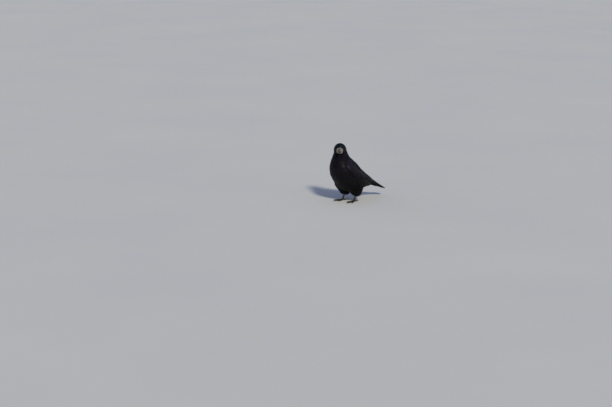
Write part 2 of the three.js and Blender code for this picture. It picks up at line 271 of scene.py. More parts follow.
def skin_finish():
    """Black skin under the coat, bare scurfy skin round the bill, and scaled black legs. The groove of the
    mouth and the nostrils are painted near black, as painted shade.
    """
    made = Recipe("skin")
    bare = made.kept("bare")
    leg = made.kept("leg")
    scute = made.kept("scute")
    hollow = made.kept("hollow")
    fleck = made.noise(420.0, 4.0, 0.65)
    folds = made.noise(150.0, 5.0, 0.6)
    warts = made.cells("F1", 900.0, 0.9)
    pale = made.blend(fleck.between(0.3, 0.72), rgb(0.15, 0.125, 0.094), rgb(0.42, 0.365, 0.285))
    pale = made.blend(folds.between(0.48, 0.72) * 0.6, pale, rgb(0.105, 0.09, 0.08))
    # Painted shade: the hollows of the mouth's groove and of the nostrils are coloured near black.
    pale = made.blend(hollow, pale, rgb(0.012, 0.01, 0.01))
    dark = made.blend(fleck.between(0.3, 0.7), rgb(0.006, 0.006, 0.007), rgb(0.014, 0.013, 0.015))
    scales = made.cells("DISTANCE_TO_EDGE", 700.0).between(0.0, 0.12)
    smooth = scales + scute.between(0.04, 0.3)
    horny = made.blend(smooth, rgb(0.03, 0.028, 0.027), rgb(0.012, 0.012, 0.013))
    edge = (bare * (0.5 + folds)).between(0.08, 0.22)
    colour = made.blend(edge, made.blend(leg, dark, horny), pale)
    height = (warts * 0.6 + folds * 1.4) * edge + (scales * 0.25 + scute * 1.6) * leg
    return made.surface({
        "Base Color": colour,
        "Roughness": 0.74 - leg * 0.3 + fleck * 0.1,
        "IOR": 1.45,
        "Specular IOR Level": 0.4,
        "Normal": made.bump(height, 0.6, 0.0005),
    })


def horn_finish(name, pale_share):
    """Slate-black horn that is pale, rough and scurfy towards the face."""
    made = Recipe(name)
    along = made.kept("along")
    streaks = made.noise(260.0, 4.0, 0.6)
    fleck = made.noise(420.0, 4.0, 0.65)
    stretched = made.add("Mapping", None, {"Vector": made.place(), "Scale": (240.0, 240.0, 900.0)})
    growth = made.noise(1.0, 3.0, 0.5, at=stretched)
    deep = made.blend(streaks.between(0.3, 0.75), rgb(0.012, 0.0115, 0.012), rgb(0.036, 0.034, 0.034))
    pale = made.blend(fleck.between(0.3, 0.72), rgb(0.13, 0.111, 0.088), rgb(0.355, 0.31, 0.25))
    pale = made.blend(growth.between(0.45, 0.75) * 0.5, pale, rgb(0.08, 0.075, 0.07))
    reach = (along + (streaks - 0.5) * 0.3).between(pale_share, pale_share + 0.3)
    colour = made.blend(reach, pale, deep)
    return made.surface({
        "Base Color": colour,
        "Roughness": 0.62 - reach * 0.26 + growth * 0.1,
        "IOR": 1.54,
        "Normal": made.bump(growth + streaks * 0.6 + fleck * (1.0 - reach), 0.35, 0.0003),
    })


def claw_finish():
    """Black horn, smoother than the bill's."""
    made = Recipe("claw")
    grain = made.noise(500.0, 3.0)
    colour = made.blend(grain.between(0.3, 0.7), rgb(0.007, 0.007, 0.008), rgb(0.028, 0.026, 0.026))
    return made.surface({
        "Base Color": colour,
        "Roughness": 0.3 + grain * 0.2,
        "IOR": 1.55,
        "Normal": made.bump(grain, 0.2, 0.0002),
    })


# How far out from the eye's middle the pupil and the iris end, as shares of a half turn.
PUPIL_EDGE = (0.105, 0.118)
IRIS_EDGE = (0.19, 0.235)


def eye_finish():
    """A dark brown iris round a black pupil, wet all over."""
    made = Recipe("eye")
    out = made.kept("along")
    rays = made.noise(900.0, 4.0, 0.7)
    iris = made.blend(rays.between(0.3, 0.7), rgb(0.012, 0.006, 0.004), rgb(0.06, 0.028, 0.014))
    colour = made.blend(out.between(*PUPIL_EDGE), rgb(0.0006, 0.0006, 0.0006), iris)
    colour = made.blend(out.between(*IRIS_EDGE), colour, rgb(0.005, 0.004, 0.004))
    return made.surface({
        "Base Color": colour,
        "Roughness": 0.2 + rays * 0.04,
        "IOR": 1.38,
        "Specular IOR Level": 0.1,
        "Coat Weight": 0.8,
        "Coat Roughness": 0.015,
        "Coat IOR": 1.34,
    })


def floor_finish():
    """A plain pale ground, a little cloudy."""
    made = Recipe("floor")
    cloud = made.noise(1.1, 3.0)
    colour = made.blend(cloud.between(0.2, 0.8), rgb(0.76, 0.765, 0.775), rgb(0.80, 0.80, 0.80))
    return made.surface({
        "Base Color": colour,
        "Roughness": 0.85 + cloud * 0.05,
        "Normal": made.bump(made.noise(60.0, 4.0), 0.05, 0.001),
    })


# ---------- meshes ----------
def shape_of(node):
    """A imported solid's points and triangles."""
    mesh = node.data
    points = np.empty(len(mesh.vertices) * 3)
    mesh.vertices.foreach_get("co", points)
    mesh.calc_loop_triangles()
    triangles = np.empty(len(mesh.loop_triangles) * 3, dtype=np.int64)
    mesh.loop_triangles.foreach_get("vertices", triangles)
    return points.reshape(-1, 3), triangles.reshape(-1, 3)


def mesh_of(name, points, faces, sharp=None):
    """A mesh object from arrays of points and of four-sided faces."""
    mesh = bpy.data.meshes.new(name)
    mesh.vertices.add(len(points))
    mesh.vertices.foreach_set("co", np.asarray(points, dtype=np.float32).ravel())
    mesh.loops.add(faces.size)
    mesh.loops.foreach_set("vertex_index", faces.ravel().astype(np.int32))
    mesh.polygons.add(len(faces))
    starts = np.arange(len(faces), dtype=np.int32) * faces.shape[1]
    mesh.polygons.foreach_set("loop_start", starts)
    mesh.update(calc_edges=True)
    if sharp is not None:
        flat = mesh.attributes.get("sharp_face") or mesh.attributes.new("sharp_face", "BOOLEAN", "FACE")
        flat.data.foreach_set("value", sharp)
    piece = bpy.data.objects.new(name, mesh)
    bpy.context.scene.collection.objects.link(piece)
    return piece


def keep_numbers(piece, name, values):
    """Stores one number for each of a mesh's points."""
    layer = piece.data.attributes.new(name, "FLOAT", "POINT")
    layer.data.foreach_set("value", np.asarray(values, dtype=np.float32))


def keep_map(piece, name, places):
    """Stores a UV map from one place for each of a mesh's points."""
    mesh = piece.data
    corners = np.empty(len(mesh.loops), dtype=np.int32)
    mesh.loops.foreach_get("vertex_index", corners)
    layer = mesh.uv_layers.new(name=name, do_init=False)
    layer.uv.foreach_set("vector", np.asarray(places, dtype=np.float32)[corners].ravel())


def finish_piece(piece, material, slot, *nodes):
    """Gives a piece its material, says what it rides on and hides the nodes it stands for. slot is not
    used.
    """
    piece.data.materials.append(material)
    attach(piece, "root")
    if nodes:
        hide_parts(*nodes)
    return piece


# ---------- the skin ----------
VOXEL = 1.1 * MM  # the size of the skin's faces
BODY_NODES = ("head", "face", "neck", "trunk", "rump")
LEG_NODES = [f"{part}_{side}" for side in SIDES for part in ("thigh", "tarsus")]
TOE_NODES = [f"toe_{side}_{toe}" for side in SIDES for toe in TOES]
ARM_NODES = [f"wing_{side}_{part}" for side in SIDES for part in ("coverts", "secondaries")]
SKIN_NODES = [*BODY_NODES, *LEG_NODES, *TOE_NODES, *ARM_NODES]
KINDS = ("head", "face", "neck", "trunk", "rump", "thigh", "leg", "wing", "eye")

# How deep the skin lies under its solids, to leave room for the coat, in millimetres.
COAT_DEPTH = dict(head=0.3, face=0.0, neck=0.7, trunk=1.0, rump=1.0, thigh=2.2, leg=0.0, wing=2.8, eye=0.6)
THIN_COAT = 0.3 * MM  # a coat so thin never draws the skin in too far
DEEPEST = 0.33  # the skin never sinks by more than this share of what is behind it
# How firmly each kind of skin keeps its solids' shape while their facets are rounded off.
FIRM = dict(leg=0.6, face=0.5, eye=0.5, head=0.2)
ROUNDINGS = 60  # pairs of steps in and out, each a share of the way to a point's neighbours
STEP_IN = 0.6
STEP_OUT = 0.56

# Round each eye, as turns away from the eyeball's own axis.
LID_OPENING = math.radians(43)
OPENING_BLUR = math.radians(6)
LID_RIM = math.radians(52)
RIM_WIDTH = math.radians(7)
LID_EDGE = math.radians(54)
EDGE_BLUR = math.radians(22)
LID_REACH = math.radians(100)
# A lid's own half width and how far it is blurred, as shares of the eye's radius.
LID_HALF = 0.95
LID_BLUR = 0.35
LID_STAND = 0.35  # how far a lid stands off the eyeball and its rim off the lid, in millimetres
BEHIND_LID = 1.2  # how far behind the eyeball's surface the skin in the opening lies, in millimetres

# The bill, in millimetres from the middle of the head.
BILL = dict(
    start=23, tip=86, gape=-3, upper=11.5, lower=7.5, half=8.2, edge=0.9, droop=3.4, overhang=3,
    side_taper=0.92, upper_taper=2.3, lower_taper=1.5,
)
NOSTRIL = dict(ahead=33.0, above=4.2, long=2.1, tall=1.25, depth=0.9)
MOUTH = dict(start=17, groove=0.75, depth=0.8)
BESIDE = 4  # the mouth's groove and the nostrils lie at least this far beside the middle, in millimetres
WARTS = ((420, 0.5), (190, 0.6))  # their sizes, as cells to a metre, and their shares
WART_HEIGHT = 0.6
# The bare skin's edge: how far ahead of the head's middle it lies at least, and how much further over,
# under and beside the bill, in millimetres. soft is how far it is blurred, and no skin is bare further
# out from the bill's middle line than reach.
BARE = dict(least=19.5, over=6.0, under=8.5, beside=5.0, ripple=0.5, soft=4.5, reach=26)
# How far the bare skin stands out over the bill at places ahead of the head's middle, in millimetres.
SLEEVE = (
    (15, 3.0), (22, 5.4), (25, 3.9), (27, 2.9), (29, 2.1), (32, 1.3), (35, 0.8), (38, 0.35), (41, -0.5),
)
SLEEVE_POINTS = 40
SLEEVE_UNDER = 0.8  # how much of that it stands out under the bill


def kind_of(node):
    if node.startswith(("tarsus", "toe")):
        return "leg"
    return node.split("_")[0]


def eye_axis(side):
    """The way an eye looks: out to its side, a little ahead and a little up."""
    return (HEAD_SIDE * side + HEAD_AHEAD * 0.22 + HEAD_UP * 0.06).normalized()


def closed_loft(rings):
    """Points and triangles of a closed solid through rings that all have the same number of points."""
    count = len(rings[0])
    points = [point for ring in rings for point in ring]
    triangles = []
    for i in range(len(rings) - 1):
        for k in range(count):
            a, b = i * count + k, i * count + (k + 1) % count
            triangles += [(a, b, b + count), (a, b + count, a + count)]
    for ring, flip in ((0, True), (len(rings) - 1, False)):
        points.append(sum(rings[ring], Vector()) / count)
        hub = len(points) - 1
        for k in range(count):
            a, b = ring * count + k, ring * count + (k + 1) % count
            triangles.append((b, a, hub) if flip else (a, b, hub))
    return np.array([tuple(point) for point in points]), np.array(triangles)


def sleeve():
    """The skin that runs from the face out on to the bill."""
    rings = []
    for ahead, stand in SLEEVE:
        share = max(0.0, (ahead - BILL["start"]) / (BILL["tip"] - BILL["start"]))
        half = BILL["half"] * (1 - share) ** BILL["side_taper"] + BILL["edge"] + stand
        over = BILL["upper"] * (1 - share ** BILL["upper_taper"]) + BILL["edge"] + stand
        under = BILL["lower"] * (1 - share ** BILL["lower_taper"]) + BILL["edge"] + stand * SLEEVE_UNDER
        ring = []
        for k in range(SLEEVE_POINTS):
            turn = 2 * math.pi * k / SLEEVE_POINTS
            tall = over if math.sin(turn) > 0 else under
            ring.append(in_head(half * math.cos(turn), ahead, BILL["gape"] + tall * math.sin(turn)))
        rings.append(ring)
    return closed_loft(rings)


class Skin:
    """The whole bird's skin: its mesh, and what each of its points belongs to."""

    def __init__(self):
        points, triangles, kinds = self.gather()
        self.points, self.faces = self.remesh(points, triangles)
        self.edges = self.edges_of(self.faces)
        self.count = np.bincount(self.edges.ravel(), minlength=len(self.points)).astype(float)
        self.label(points, triangles, kinds)
        self.relax()
        self.sink()
        self.seat_eyes()
        self.work_face()
        self.scale_legs()
        self.build()

    def gather(self):
        """The points and triangles of every solid of flesh and of the sleeve, and each triangle's kind."""
        points, triangles, kinds = [], [], []
        start = 0
        nodes = [*SKIN_NODES, "eye_left", "eye_right"]
        solids = [(kind_of(node), shape_of(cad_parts[node])) for node in nodes]
        for kind, (some, faces) in [*solids, ("face", sleeve())]:
            points.append(some)
            triangles.append(faces + start)
            kinds += [KINDS.index(kind)] * len(faces)
            start += len(some)
        return np.vstack(points), np.vstack(triangles), np.array(kinds)

    def remesh(self, points, triangles):
        """Joins them into one even mesh."""
        source = mesh_of("skin_source", points, triangles)
        bm = bmesh.new()
        bm.from_mesh(source.data)
        bmesh.ops.remove_doubles(bm, verts=bm.verts, dist=1e-6)
        bm.to_mesh(source.data)
        bm.free()
        voxels = source.modifiers.new("even", "REMESH")
        voxels.mode = "VOXEL"
        voxels.voxel_size = VOXEL
        shown = source.evaluated_get(bpy.context.evaluated_depsgraph_get())
        mesh = shown.to_mesh()
        made = np.empty(len(mesh.vertices) * 3)
        mesh.vertices.foreach_get("co", made)
        corners = np.empty(len(mesh.loops), dtype=np.int64)
        mesh.loops.foreach_get("vertex_index", corners)
        shown.to_mesh_clear()
        bpy.data.objects.remove(source)
        return self.largest(made.reshape(-1, 3), corners.reshape(-1, 4))

    def edges_of(self, faces):
        """Each edge once, as the two points that it joins."""
        pairs = np.vstack([faces[:, [i, (i + 1) % 4]] for i in range(4)])
        return np.unique(np.sort(pairs, axis=1), axis=0)

    def largest(self, points, faces):
        """Leaves only the mesh's one largest shell."""
        group = np.arange(len(points))
        edges = self.edges_of(faces)
        while True:
            least = group.copy()
            np.minimum.at(least, edges[:, 0], group[edges[:, 1]])
            np.minimum.at(least, edges[:, 1], group[edges[:, 0]])
            least = least[least]
            if (least == group).all():
                break
            group = least
        names, sizes = np.unique(group, return_counts=True)
        kept = group == names[sizes.argmax()]
        number = np.cumsum(kept) - 1
        faces = faces[kept[faces].all(axis=1)]
        return points[kept], number[faces]

    def averaged(self, values):
        """Each point's mean over its neighbours."""
        a, b = self.edges[:, 0], self.edges[:, 1]
        columns = values.reshape(len(values), -1)
        summed = np.empty_like(columns)
        for i in range(columns.shape[1]):
            summed[:, i] = np.bincount(a, columns[b, i], len(values))
            summed[:, i] += np.bincount(b, columns[a, i], len(values))
        return (summed / self.count[:, None]).reshape(values.shape)

    def spread(self, values, times):
        """Blends each point's value with its neighbours', so many times over."""
        for _ in range(times):
            values = (values + self.averaged(values)) / 2
        return values

    def label(self, points, triangles, kinds):
        """Gives each of the skin's points the kind of the solid that it came from."""
        tree = BVHTree.FromPolygons(points.tolist(), triangles.tolist())
        nearest = [tree.find_nearest(point)[2] for point in self.points.tolist()]
        self.kind = kinds[np.array(nearest)]

    def share(self, *names):
        """1 at the points of these kinds and 0 elsewhere."""
        return np.isin(self.kind, [KINDS.index(name) for name in names]).astype(float)

    def relax(self):
        """Rounds off the facets. A step out follows each step in, or the toes would shrink."""
        firm = sum(self.share(kind) * hold for kind, hold in FIRM.items())
        ease = (1 - self.spread(firm, 4))[:, None]
        for _ in range(ROUNDINGS):
            self.points += (self.averaged(self.points) - self.points) * ease * STEP_IN
            self.points -= (self.averaged(self.points) - self.points) * ease * STEP_OUT

    def normals(self):
        """The way out of the skin at each point."""
        corners = self.points[self.faces]
        across = np.cross(corners[:, 2] - corners[:, 0], corners[:, 3] - corners[:, 1])
        made = np.zeros_like(self.points)
        for i in range(4):
            for axis in range(3):
                made[:, axis] += np.bincount(self.faces[:, i], across[:, axis], len(self.points))
        return unit(made)

    def sink(self):
        """Draws the skin in by the coat's depth, never by more than a third of what is behind it."""
        depth = np.array([COAT_DEPTH[name] for name in KINDS])[self.kind] * MM
        depth = self.spread(depth, 14)
        tree = BVHTree.FromPolygons(self.points.tolist(), self.faces.tolist())
        normals = unit(self.spread(self.normals(), 6))
        for i, (point, normal) in enumerate(zip(self.points, normals)):
            if depth[i] > THIN_COAT:
                inward = Vector(-normal)
                hit = tree.ray_cast(Vector(point) + inward * 0.5 * MM, inward)
                if hit[3] is not None:
                    depth[i] = min(depth[i], hit[3] * DEEPEST)
        depth = self.spread(depth, 6)
        self.points -= normals * depth[:, None]
        soft = (1 - self.share("leg", "face"))[:, None]
        for _ in range(6):
            self.points += (self.averaged(self.points) - self.points) * soft * 0.5

    def seat_eyes(self):
        """Lays the lids on each eyeball and opens them round it."""
        self.lid = np.zeros(len(self.points))
        for name, side in SIDES.items():
            centre = np.array(eye_middle(name))
            outward = np.array(eye_axis(side))
            arm = self.points - centre
            reach = np.linalg.norm(arm, axis=1)
            turn = np.arccos(np.clip(arm @ outward / reach, -1, 1))
            near = (reach < EYE_RADIUS * 2.1) & (turn < LID_REACH)
            sunk = EYE_RADIUS - BEHIND_LID * MM
            rim = np.exp(-(((turn - LID_RIM) / RIM_WIDTH) ** 2))
            proud = EYE_RADIUS + LID_STAND * (1 + rim) * MM
            inside = 1 - eased((turn - LID_OPENING) / OPENING_BLUR)
            aside = reach * np.sin(turn)
            hold = near * (1 - eased((turn - LID_EDGE) / EDGE_BLUR))
            hold = hold * (1 - eased((aside / EYE_RADIUS - LID_HALF) / LID_BLUR))
            new = reach + (proud + (sunk - proud) * inside - reach) * hold
            self.points = np.where(near[:, None], centre + arm * (new / reach)[:, None], self.points)
            self.lid = np.maximum(self.lid, near * (turn < LID_EDGE) * (aside < EYE_RADIUS * 0.8))

    def head_places(self):
        """Every point's place in the head, in millimetres to its left, ahead and above."""
        arm = (self.points - np.array(HEAD_MIDDLE)) / MM
        return arm @ np.array(HEAD_SIDE), arm @ np.array(HEAD_AHEAD), arm @ np.array(HEAD_UP)

    def work_face(self):
        """Bares the face, and gives it its nostrils, the groove of the mouth, warts and wrinkles. The
        nostrils and the groove are kept as the places of painted shade.
        """
        left, ahead, above = self.head_places()
        beside = np.abs(left) - BESIDE
        self.bare = bare_share(left, ahead, above)
        mouth = np.exp(-(((above - BILL["gape"]) / MOUTH["groove"]) ** 2))
        mouth = mouth * eased((ahead - MOUTH["start"]) / 4) * eased(beside / 2)
        far = ((ahead - NOSTRIL["ahead"]) / NOSTRIL["long"]) ** 2
        nostril = np.exp(-far - ((above - NOSTRIL["above"]) / NOSTRIL["tall"]) ** 2) * (beside > 0)
        # hollow marks where the skin's colour carries painted shade: the mouth's groove and the nostrils.
        self.hollow = np.maximum(mouth * 0.75, nostril)
        warts = np.zeros(len(self.points))
        for i in np.flatnonzero(self.bare > 0.01):
            at = Vector(self.points[i])
            warts[i] = sum(noise.noise(at * scale) * share for scale, share in WARTS)
        lift = warts * self.bare * WART_HEIGHT - mouth * MOUTH["depth"] - nostril * NOSTRIL["depth"]
        self.points += self.normals() * (lift * MM)[:, None]

    def scale_legs(self):
        """Raises the broad scales down the front of each shank and along the top of each toe."""
        self.leg = self.spread(self.share("leg"), 3)
        normals = self.normals()
        self.scute = np.zeros(len(self.points))
        for name, side in SIDES.items():
            low, high = (Vector(corner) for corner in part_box(f"tarsus_{name}"))
            here = (self.points[:, 0] * side > 0) & (self.leg > 0.5)
            up = (self.points[:, 2] - low.z) / (high.z - low.z)
            front = eased(-normals[:, 1] * 1.6 + 0.1)
            self.scute += here * front * (up > ANKLE) * (1 - (up * SHANK_SCALES) % 1.0)
            best = np.full(len(self.points), TOE_HALF)
            for toe in TOES:
                root, way = foot(name), toe_way(name, toe)
                arm = (self.points - np.array(root)) / MM
                along = arm @ np.array(way)
                aside = np.abs(arm @ np.array(way.cross(UP)))
                mine = here & (up < ANKLE) & (along > TOE_ROOT) & (aside < best)
                best = np.where(mine, aside, best)
                step = (1 - (along / TOE_SCALE) % 1.0) * eased(normals[:, 2] * 1.8)
                self.scute = np.where(mine, step, self.scute)
        self.points += normals * (self.scute * SCALE_HEIGHT * MM)[:, None]

    def build(self):
        """Makes the piece, and keeps what the coat needs to know of each face."""
        self.piece = mesh_of("skin", self.points, self.faces, np.zeros(len(self.faces), dtype=bool))
        self.unwrap()
        self.tree = BVHTree.FromPolygons(self.points.tolist(), self.faces.tolist())
        normals = self.spread(self.normals(), 3)
        self.face_normals = unit(normals[self.faces].mean(axis=1))
        self.face_middles = self.points[self.faces].mean(axis=1)
        self.face_kind = self.kind[self.faces[:, 0]]
        self.face_bare = self.bare[self.faces].mean(axis=1)
        self.face_lid = self.lid[self.faces].max(axis=1)
        # hollow holds the places of the face's painted shade.
        for name in ("bare", "hollow", "leg", "scute"):
            keep_numbers(self.piece, name, getattr(self, name))

    def unwrap(self):
        """Unwraps the skin's own shape. Every feather's bake patch lies at its root's place on this map."""
        bpy.context.view_layer.objects.active = self.piece
        self.piece.select_set(True)
        bpy.ops.object.mode_set(mode="EDIT")
        bpy.ops.mesh.select_all(action="SELECT")
        self.piece.data.uv_layers.new(name="OFBake")
        bpy.ops.uv.smart_project(angle_limit=math.radians(66), island_margin=0.001)
        bpy.ops.object.mode_set(mode="OBJECT")
        self.piece.select_set(False)
        layer = self.piece.data.uv_layers["OFBake"]
        places = np.empty(len(self.piece.data.loops) * 2)
        layer.uv.foreach_get("vector", places)
        self.face_places = places.reshape(-1, 4, 2).mean(axis=1)


def bare_share(left, ahead, above):
    """1 on the bare face and 0 where feathers grow. Its edge lies furthest ahead under the bill."""
    round_bill = np.sqrt(left**2 + (above + 1) ** 2) + 1e-6
    over = np.clip((above + 1) / round_bill, 0, 1)
    under = np.clip(-(above + 1) / round_bill, 0, 1)
    turn = np.arctan2(above + 1, left)
    # Three waves of different lengths keep the edge from being a clean line.
    ripple = np.sin(turn * 7 + 1) + np.sin(turn * 13 + left * 0.2) * 0.8
    ripple = ripple + np.sin(turn * 23 + ahead * 0.7) * 0.6
    beside = np.abs(left) / round_bill
    edge = BARE["least"] + BARE["over"] * over**2 + BARE["under"] * under**3
    edge = edge + BARE["beside"] * beside**2 + BARE["ripple"] * ripple
    return eased((ahead - edge) / BARE["soft"] + 0.5) * (round_bill < BARE["reach"])


# ---------- vanes: one thin closed shape for each feather ----------
def vane_faces(long, wide):
    """Faces of a closed vane, a grid of rows over a flat underside, and which of them are flat."""
    last = wide - 1
    top, rest = [], []
    for i in range(long - 1):
        a, b = i * wide, (i + 1) * wide
        top += [(a + k, b + k, b + k + 1, a + k + 1) for k in range(last)]
        rest.append((a, a + last, b + last, b))
    end = (long - 1) * wide
    for k in range(wide // 2 - 1):
        rest.append((k, k + 1, last - 1 - k, last - k))
        rest.append((end + k + 1, end + k, end + last - k, end + last - 1 - k))
    return np.array(top + rest), np.array([False] * len(top) + [True] * len(rest))


def outline(t, base, widest, tip):
    """A feather's half width along it, as a share: base at the root, 1 where widest, tip at the end."""
    rise = base + (1 - base) * np.sin(np.minimum(t / widest, 1) * math.pi / 2)
    fall = np.clip((t - widest) / (1 - widest), 0, 1)
    return rise * np.sqrt(1 - fall**2 * (1 - tip**2))


BAKE_PATCH = 0.003
# Places along a feather, from the smallest feathers' to the longest ones', and across one.
FEW = np.array([0, 0.3, 0.55, 0.76, 0.91, 1.0])
FINE = np.array([0, 0.22, 0.42, 0.58, 0.72, 0.84, 0.93, 1.0])
SHORT = np.array([0, 0.16, 0.34, 0.52, 0.68, 0.8, 0.88, 0.94, 0.98, 1.0])
LONG = np.array([0, 0.1, 0.2, 0.3, 0.4, 0.5, 0.6, 0.69, 0.77, 0.84, 0.89, 0.93, 0.965, 0.985, 1.0])
NARROW = np.array([-1, -0.35, 0.35, 1])
BROAD = np.array([-1, -0.62, -0.2, 0.2, 0.62, 1])
RIDGED = np.array([-1, -0.62, -0.25, -0.04, 0.04, 0.25, 0.62, 1])


class Coat:
    """Gathers feathers, and makes them into one piece of closed vanes."""

    def __init__(self, name):
        self.name = name
        self.points, self.faces, self.sharp = [], [], []
        self.along, self.rim, self.tone, self.vane, self.bake = [], [], [], [], []
        self.size = 0
        self.grids = {}

    def feather(self, path, normals, half, across, place, camber=0.1, tilt=0.0, ridge=0.0, fringe=0.0):
        """One vane along a path. half is its half width at each step, across its columns from -1 to 1."""
        long, wide = len(path), len(across)
        ahead = np.gradient(path, axis=0)
        side = unit(np.cross(normals, ahead))
        steps = np.concatenate([[0], np.cumsum(np.linalg.norm(np.diff(path, axis=0), axis=1))])
        length = steps[-1]
        steps /= length
        # A fringe: some columns stop short of the end, and every second row is nicked at its rims.
        ragged = grains.random(wide) * np.where(np.arange(wide) % 2, 1.0, 0.3) * fringe
        share = steps[:, None] - ragged[None, :] * eased((steps - 0.45) / 0.5)[:, None]
        row = np.clip(np.searchsorted(steps, share, side="right") - 1, 0, long - 2)
        part = ((share - steps[row]) / (steps[row + 1] - steps[row]))[..., None]
        spine = path[row] * (1 - part) + path[row + 1] * part
        nicks = 1 - grains.random(long) * fringe * 0.7 * (np.arange(long) % 2) * (steps > 0.3)
        over = across[None, :] * (half * nicks)[:, None]
        rise = tilt * MM * across[None, :] - camber * np.abs(over) ** 1.5 / np.sqrt(half.max())
        rise = rise + ridge * MM * (np.abs(across) < 0.1)[None, :] * (1 - steps)[:, None]
        points = spine + side[:, None] * over[..., None] + normals[:, None] * rise[..., None]
        if (long, wide) not in self.grids:
            self.grids[long, wide] = vane_faces(long, wide)
        faces, sharp = self.grids[long, wide]
        self.points.append(points.reshape(-1, 3))
        self.faces.append(faces + self.size)
        self.sharp.append(sharp)
        self.size += long * wide
        self.along.append(share.ravel())
        self.rim.append(np.tile(np.abs(across), long))
        self.tone.append(np.full(long * wide, dice.random()))
        self.vane.append(np.stack([over, share * length], axis=-1).reshape(-1, 2))
        patch = np.stack([np.broadcast_to(across[None, :], share.shape), 2 * share - 1], axis=-1)
        self.bake.append(place + patch.reshape(-1, 2) * BAKE_PATCH / 2)

    def lay(self, skin, path, normals, steps, shape, half, across, under=0, **looks):
        """A vane clear of the skin. half is its greatest half width. It bakes at one step's place."""
        face = skin.tree.find_nearest(Vector(path[under]))[2]
        widths = outline(steps, *shape) * half * MM
        place = skin.face_places[face]
        self.feather(np.array(path), unit(np.array(normals)), widths, across, place, **looks)

    def build(self, material, slot, *nodes):
        """Makes the piece, with what its material reads at each point."""
        sharp = np.concatenate(self.sharp)
        piece = mesh_of(self.name, np.vstack(self.points), np.vstack(self.faces), sharp)
        for name in ("along", "rim", "tone"):
            keep_numbers(piece, name, np.concatenate(getattr(self, name)))
        keep_map(piece, "OFBake", np.vstack(self.bake))
        keep_map(piece, "vane", np.vstack(self.vane))
        return finish_piece(piece, material, slot, *nodes)


# How a feather lies, from the bill to the tail: where, and its way there, both as forward and above.
LIE = (
    ((25, 240), (-0.5, -0.87)),
    ((0, 200), (-0.66, -0.75)),
    ((-40, 150), (-0.74, -0.67)),
    ((-90, 105), (-0.86, -0.51)),
    ((96, 232), (0.12, -1.0)),
    ((116, 195), (0.04, -1.0)),
    ((121, 150), (-0.16, -1.0)),
    ((100, 104), (-0.45, -0.9)),
    ((62, 68), (-0.72, -0.69)),
    ((5, 54), (-1.0, -0.08)),
    ((-60, 58), (-1.0, 0.0)),
    ((-110, 62), (-0.98, -0.18)),
)
OWN_LIE = dict(thigh=(-0.22, -1.0), wing=(-0.72, -0.7))
LIE_BLUR = 150.0  # how far the places blend into one another, in square millimetres
# Feathers point away from BILL_ROOT within the first of these, and less and less over the second. They
# turn round an eye as far out from it as EYE_FLOW. All in millimetres.
BILL_ROOT = (0, 31, -4)
FACE_FLOW = (30, 34)
EYE_FLOW = 6


def lie_of_coat(skin):
    """The way that feathers point on each face of the skin, and how flat on the face that way lies."""
    at = skin.face_middles
    forward, above = on_bird(at)
    flow = np.zeros_like(at)
    for (where_forward, where_above), way in LIE:
        far = (forward - where_forward) ** 2 + (above - where_above) ** 2
        flow += np.array(towards(*way)) / (far + LIE_BLUR)[:, None] ** 1.5
    flow = unit(flow)
    for kind, way in OWN_LIE.items():
        share = skin.spread(skin.share(kind), 14)[skin.faces].mean(axis=1)[:, None]
        flow = flow * (1 - share) + np.array(towards(*way)) * share
    from_bill = at - np.array(in_head(*BILL_ROOT))
    far = np.linalg.norm(from_bill, axis=1)
    near = 1 - eased((far - FACE_FLOW[0] * MM) / (FACE_FLOW[1] * MM))
    flow = flow + (unit(from_bill) - flow) * near[:, None]
    for name in SIDES:
        from_eye = at - np.array(middle(f"eye_{name}"))
        far = np.linalg.norm(from_eye, axis=1)
        near = 1 - eased((far - EYE_RADIUS) / (EYE_FLOW * MM))
        flow += from_eye / far[:, None] * near[:, None] * 0.9
    flow -= skin.face_normals * (flow * skin.face_normals).sum(axis=1)[:, None]
    flat = np.linalg.norm(flow, axis=1)
    return flow / np.maximum(flat, 1e-6)[:, None], flat


# Feathers of each kind: spacing, length, half width, how far the tip lifts, all in millimetres.
COATS = dict(
    head=(1.4, 7.0, 0.72, 2.2),
    face=(1.15, 3.0, 0.5, 0.6),
    eye=(1.15, 3.0, 0.5, 0.7),
    neck=(2.4, 15.0, 1.6, 2.9),
    trunk=(4.1, 24.0, 4.5, 3.3),
    rump=(4.2, 26.0, 4.7, 3.1),
    thigh=(3.1, 23.0, 2.3, 4.0),
    wing=(3.0, 14.0, 3.6, 5.8),
)
SMALL_FEATHERS = ("head", "face", "eye")
FULLEST = (76, 82)  # where the coat is fluffed out furthest, low on the breast, forward and above
FULLNESS = (30, 24)  # how far that reaches, forward and above
PUFF = 6.0  # how far it is fluffed out there, in millimetres
TROUSER_HEM = 20.0  # how far above the floor the thighs' feathers end, in millimetres
THROAT = (0, 22, -12)  # under the chin, to the head's left, ahead and above
THROAT_REACH = (13, 24)  # the small feathers' reach from there, and how far they blend into the neck's
THROAT_SHARES = (0.42, 0.4, 0.42)  # how much closer, shorter and narrower they are
LOOSE_BELOW = 0.125  # the belly's feathers hang loose below this height, in metres
LOOSE_BLUR = 0.05
HANG_BELOW = 0.07  # below this height, in metres, no feather grows that would stick straight out or down
BACK_FROM = (25, 150, 0.95)  # the back begins above this place, forward and above, and this slope
BREAST_FROM = 75  # the breast is ahead of this


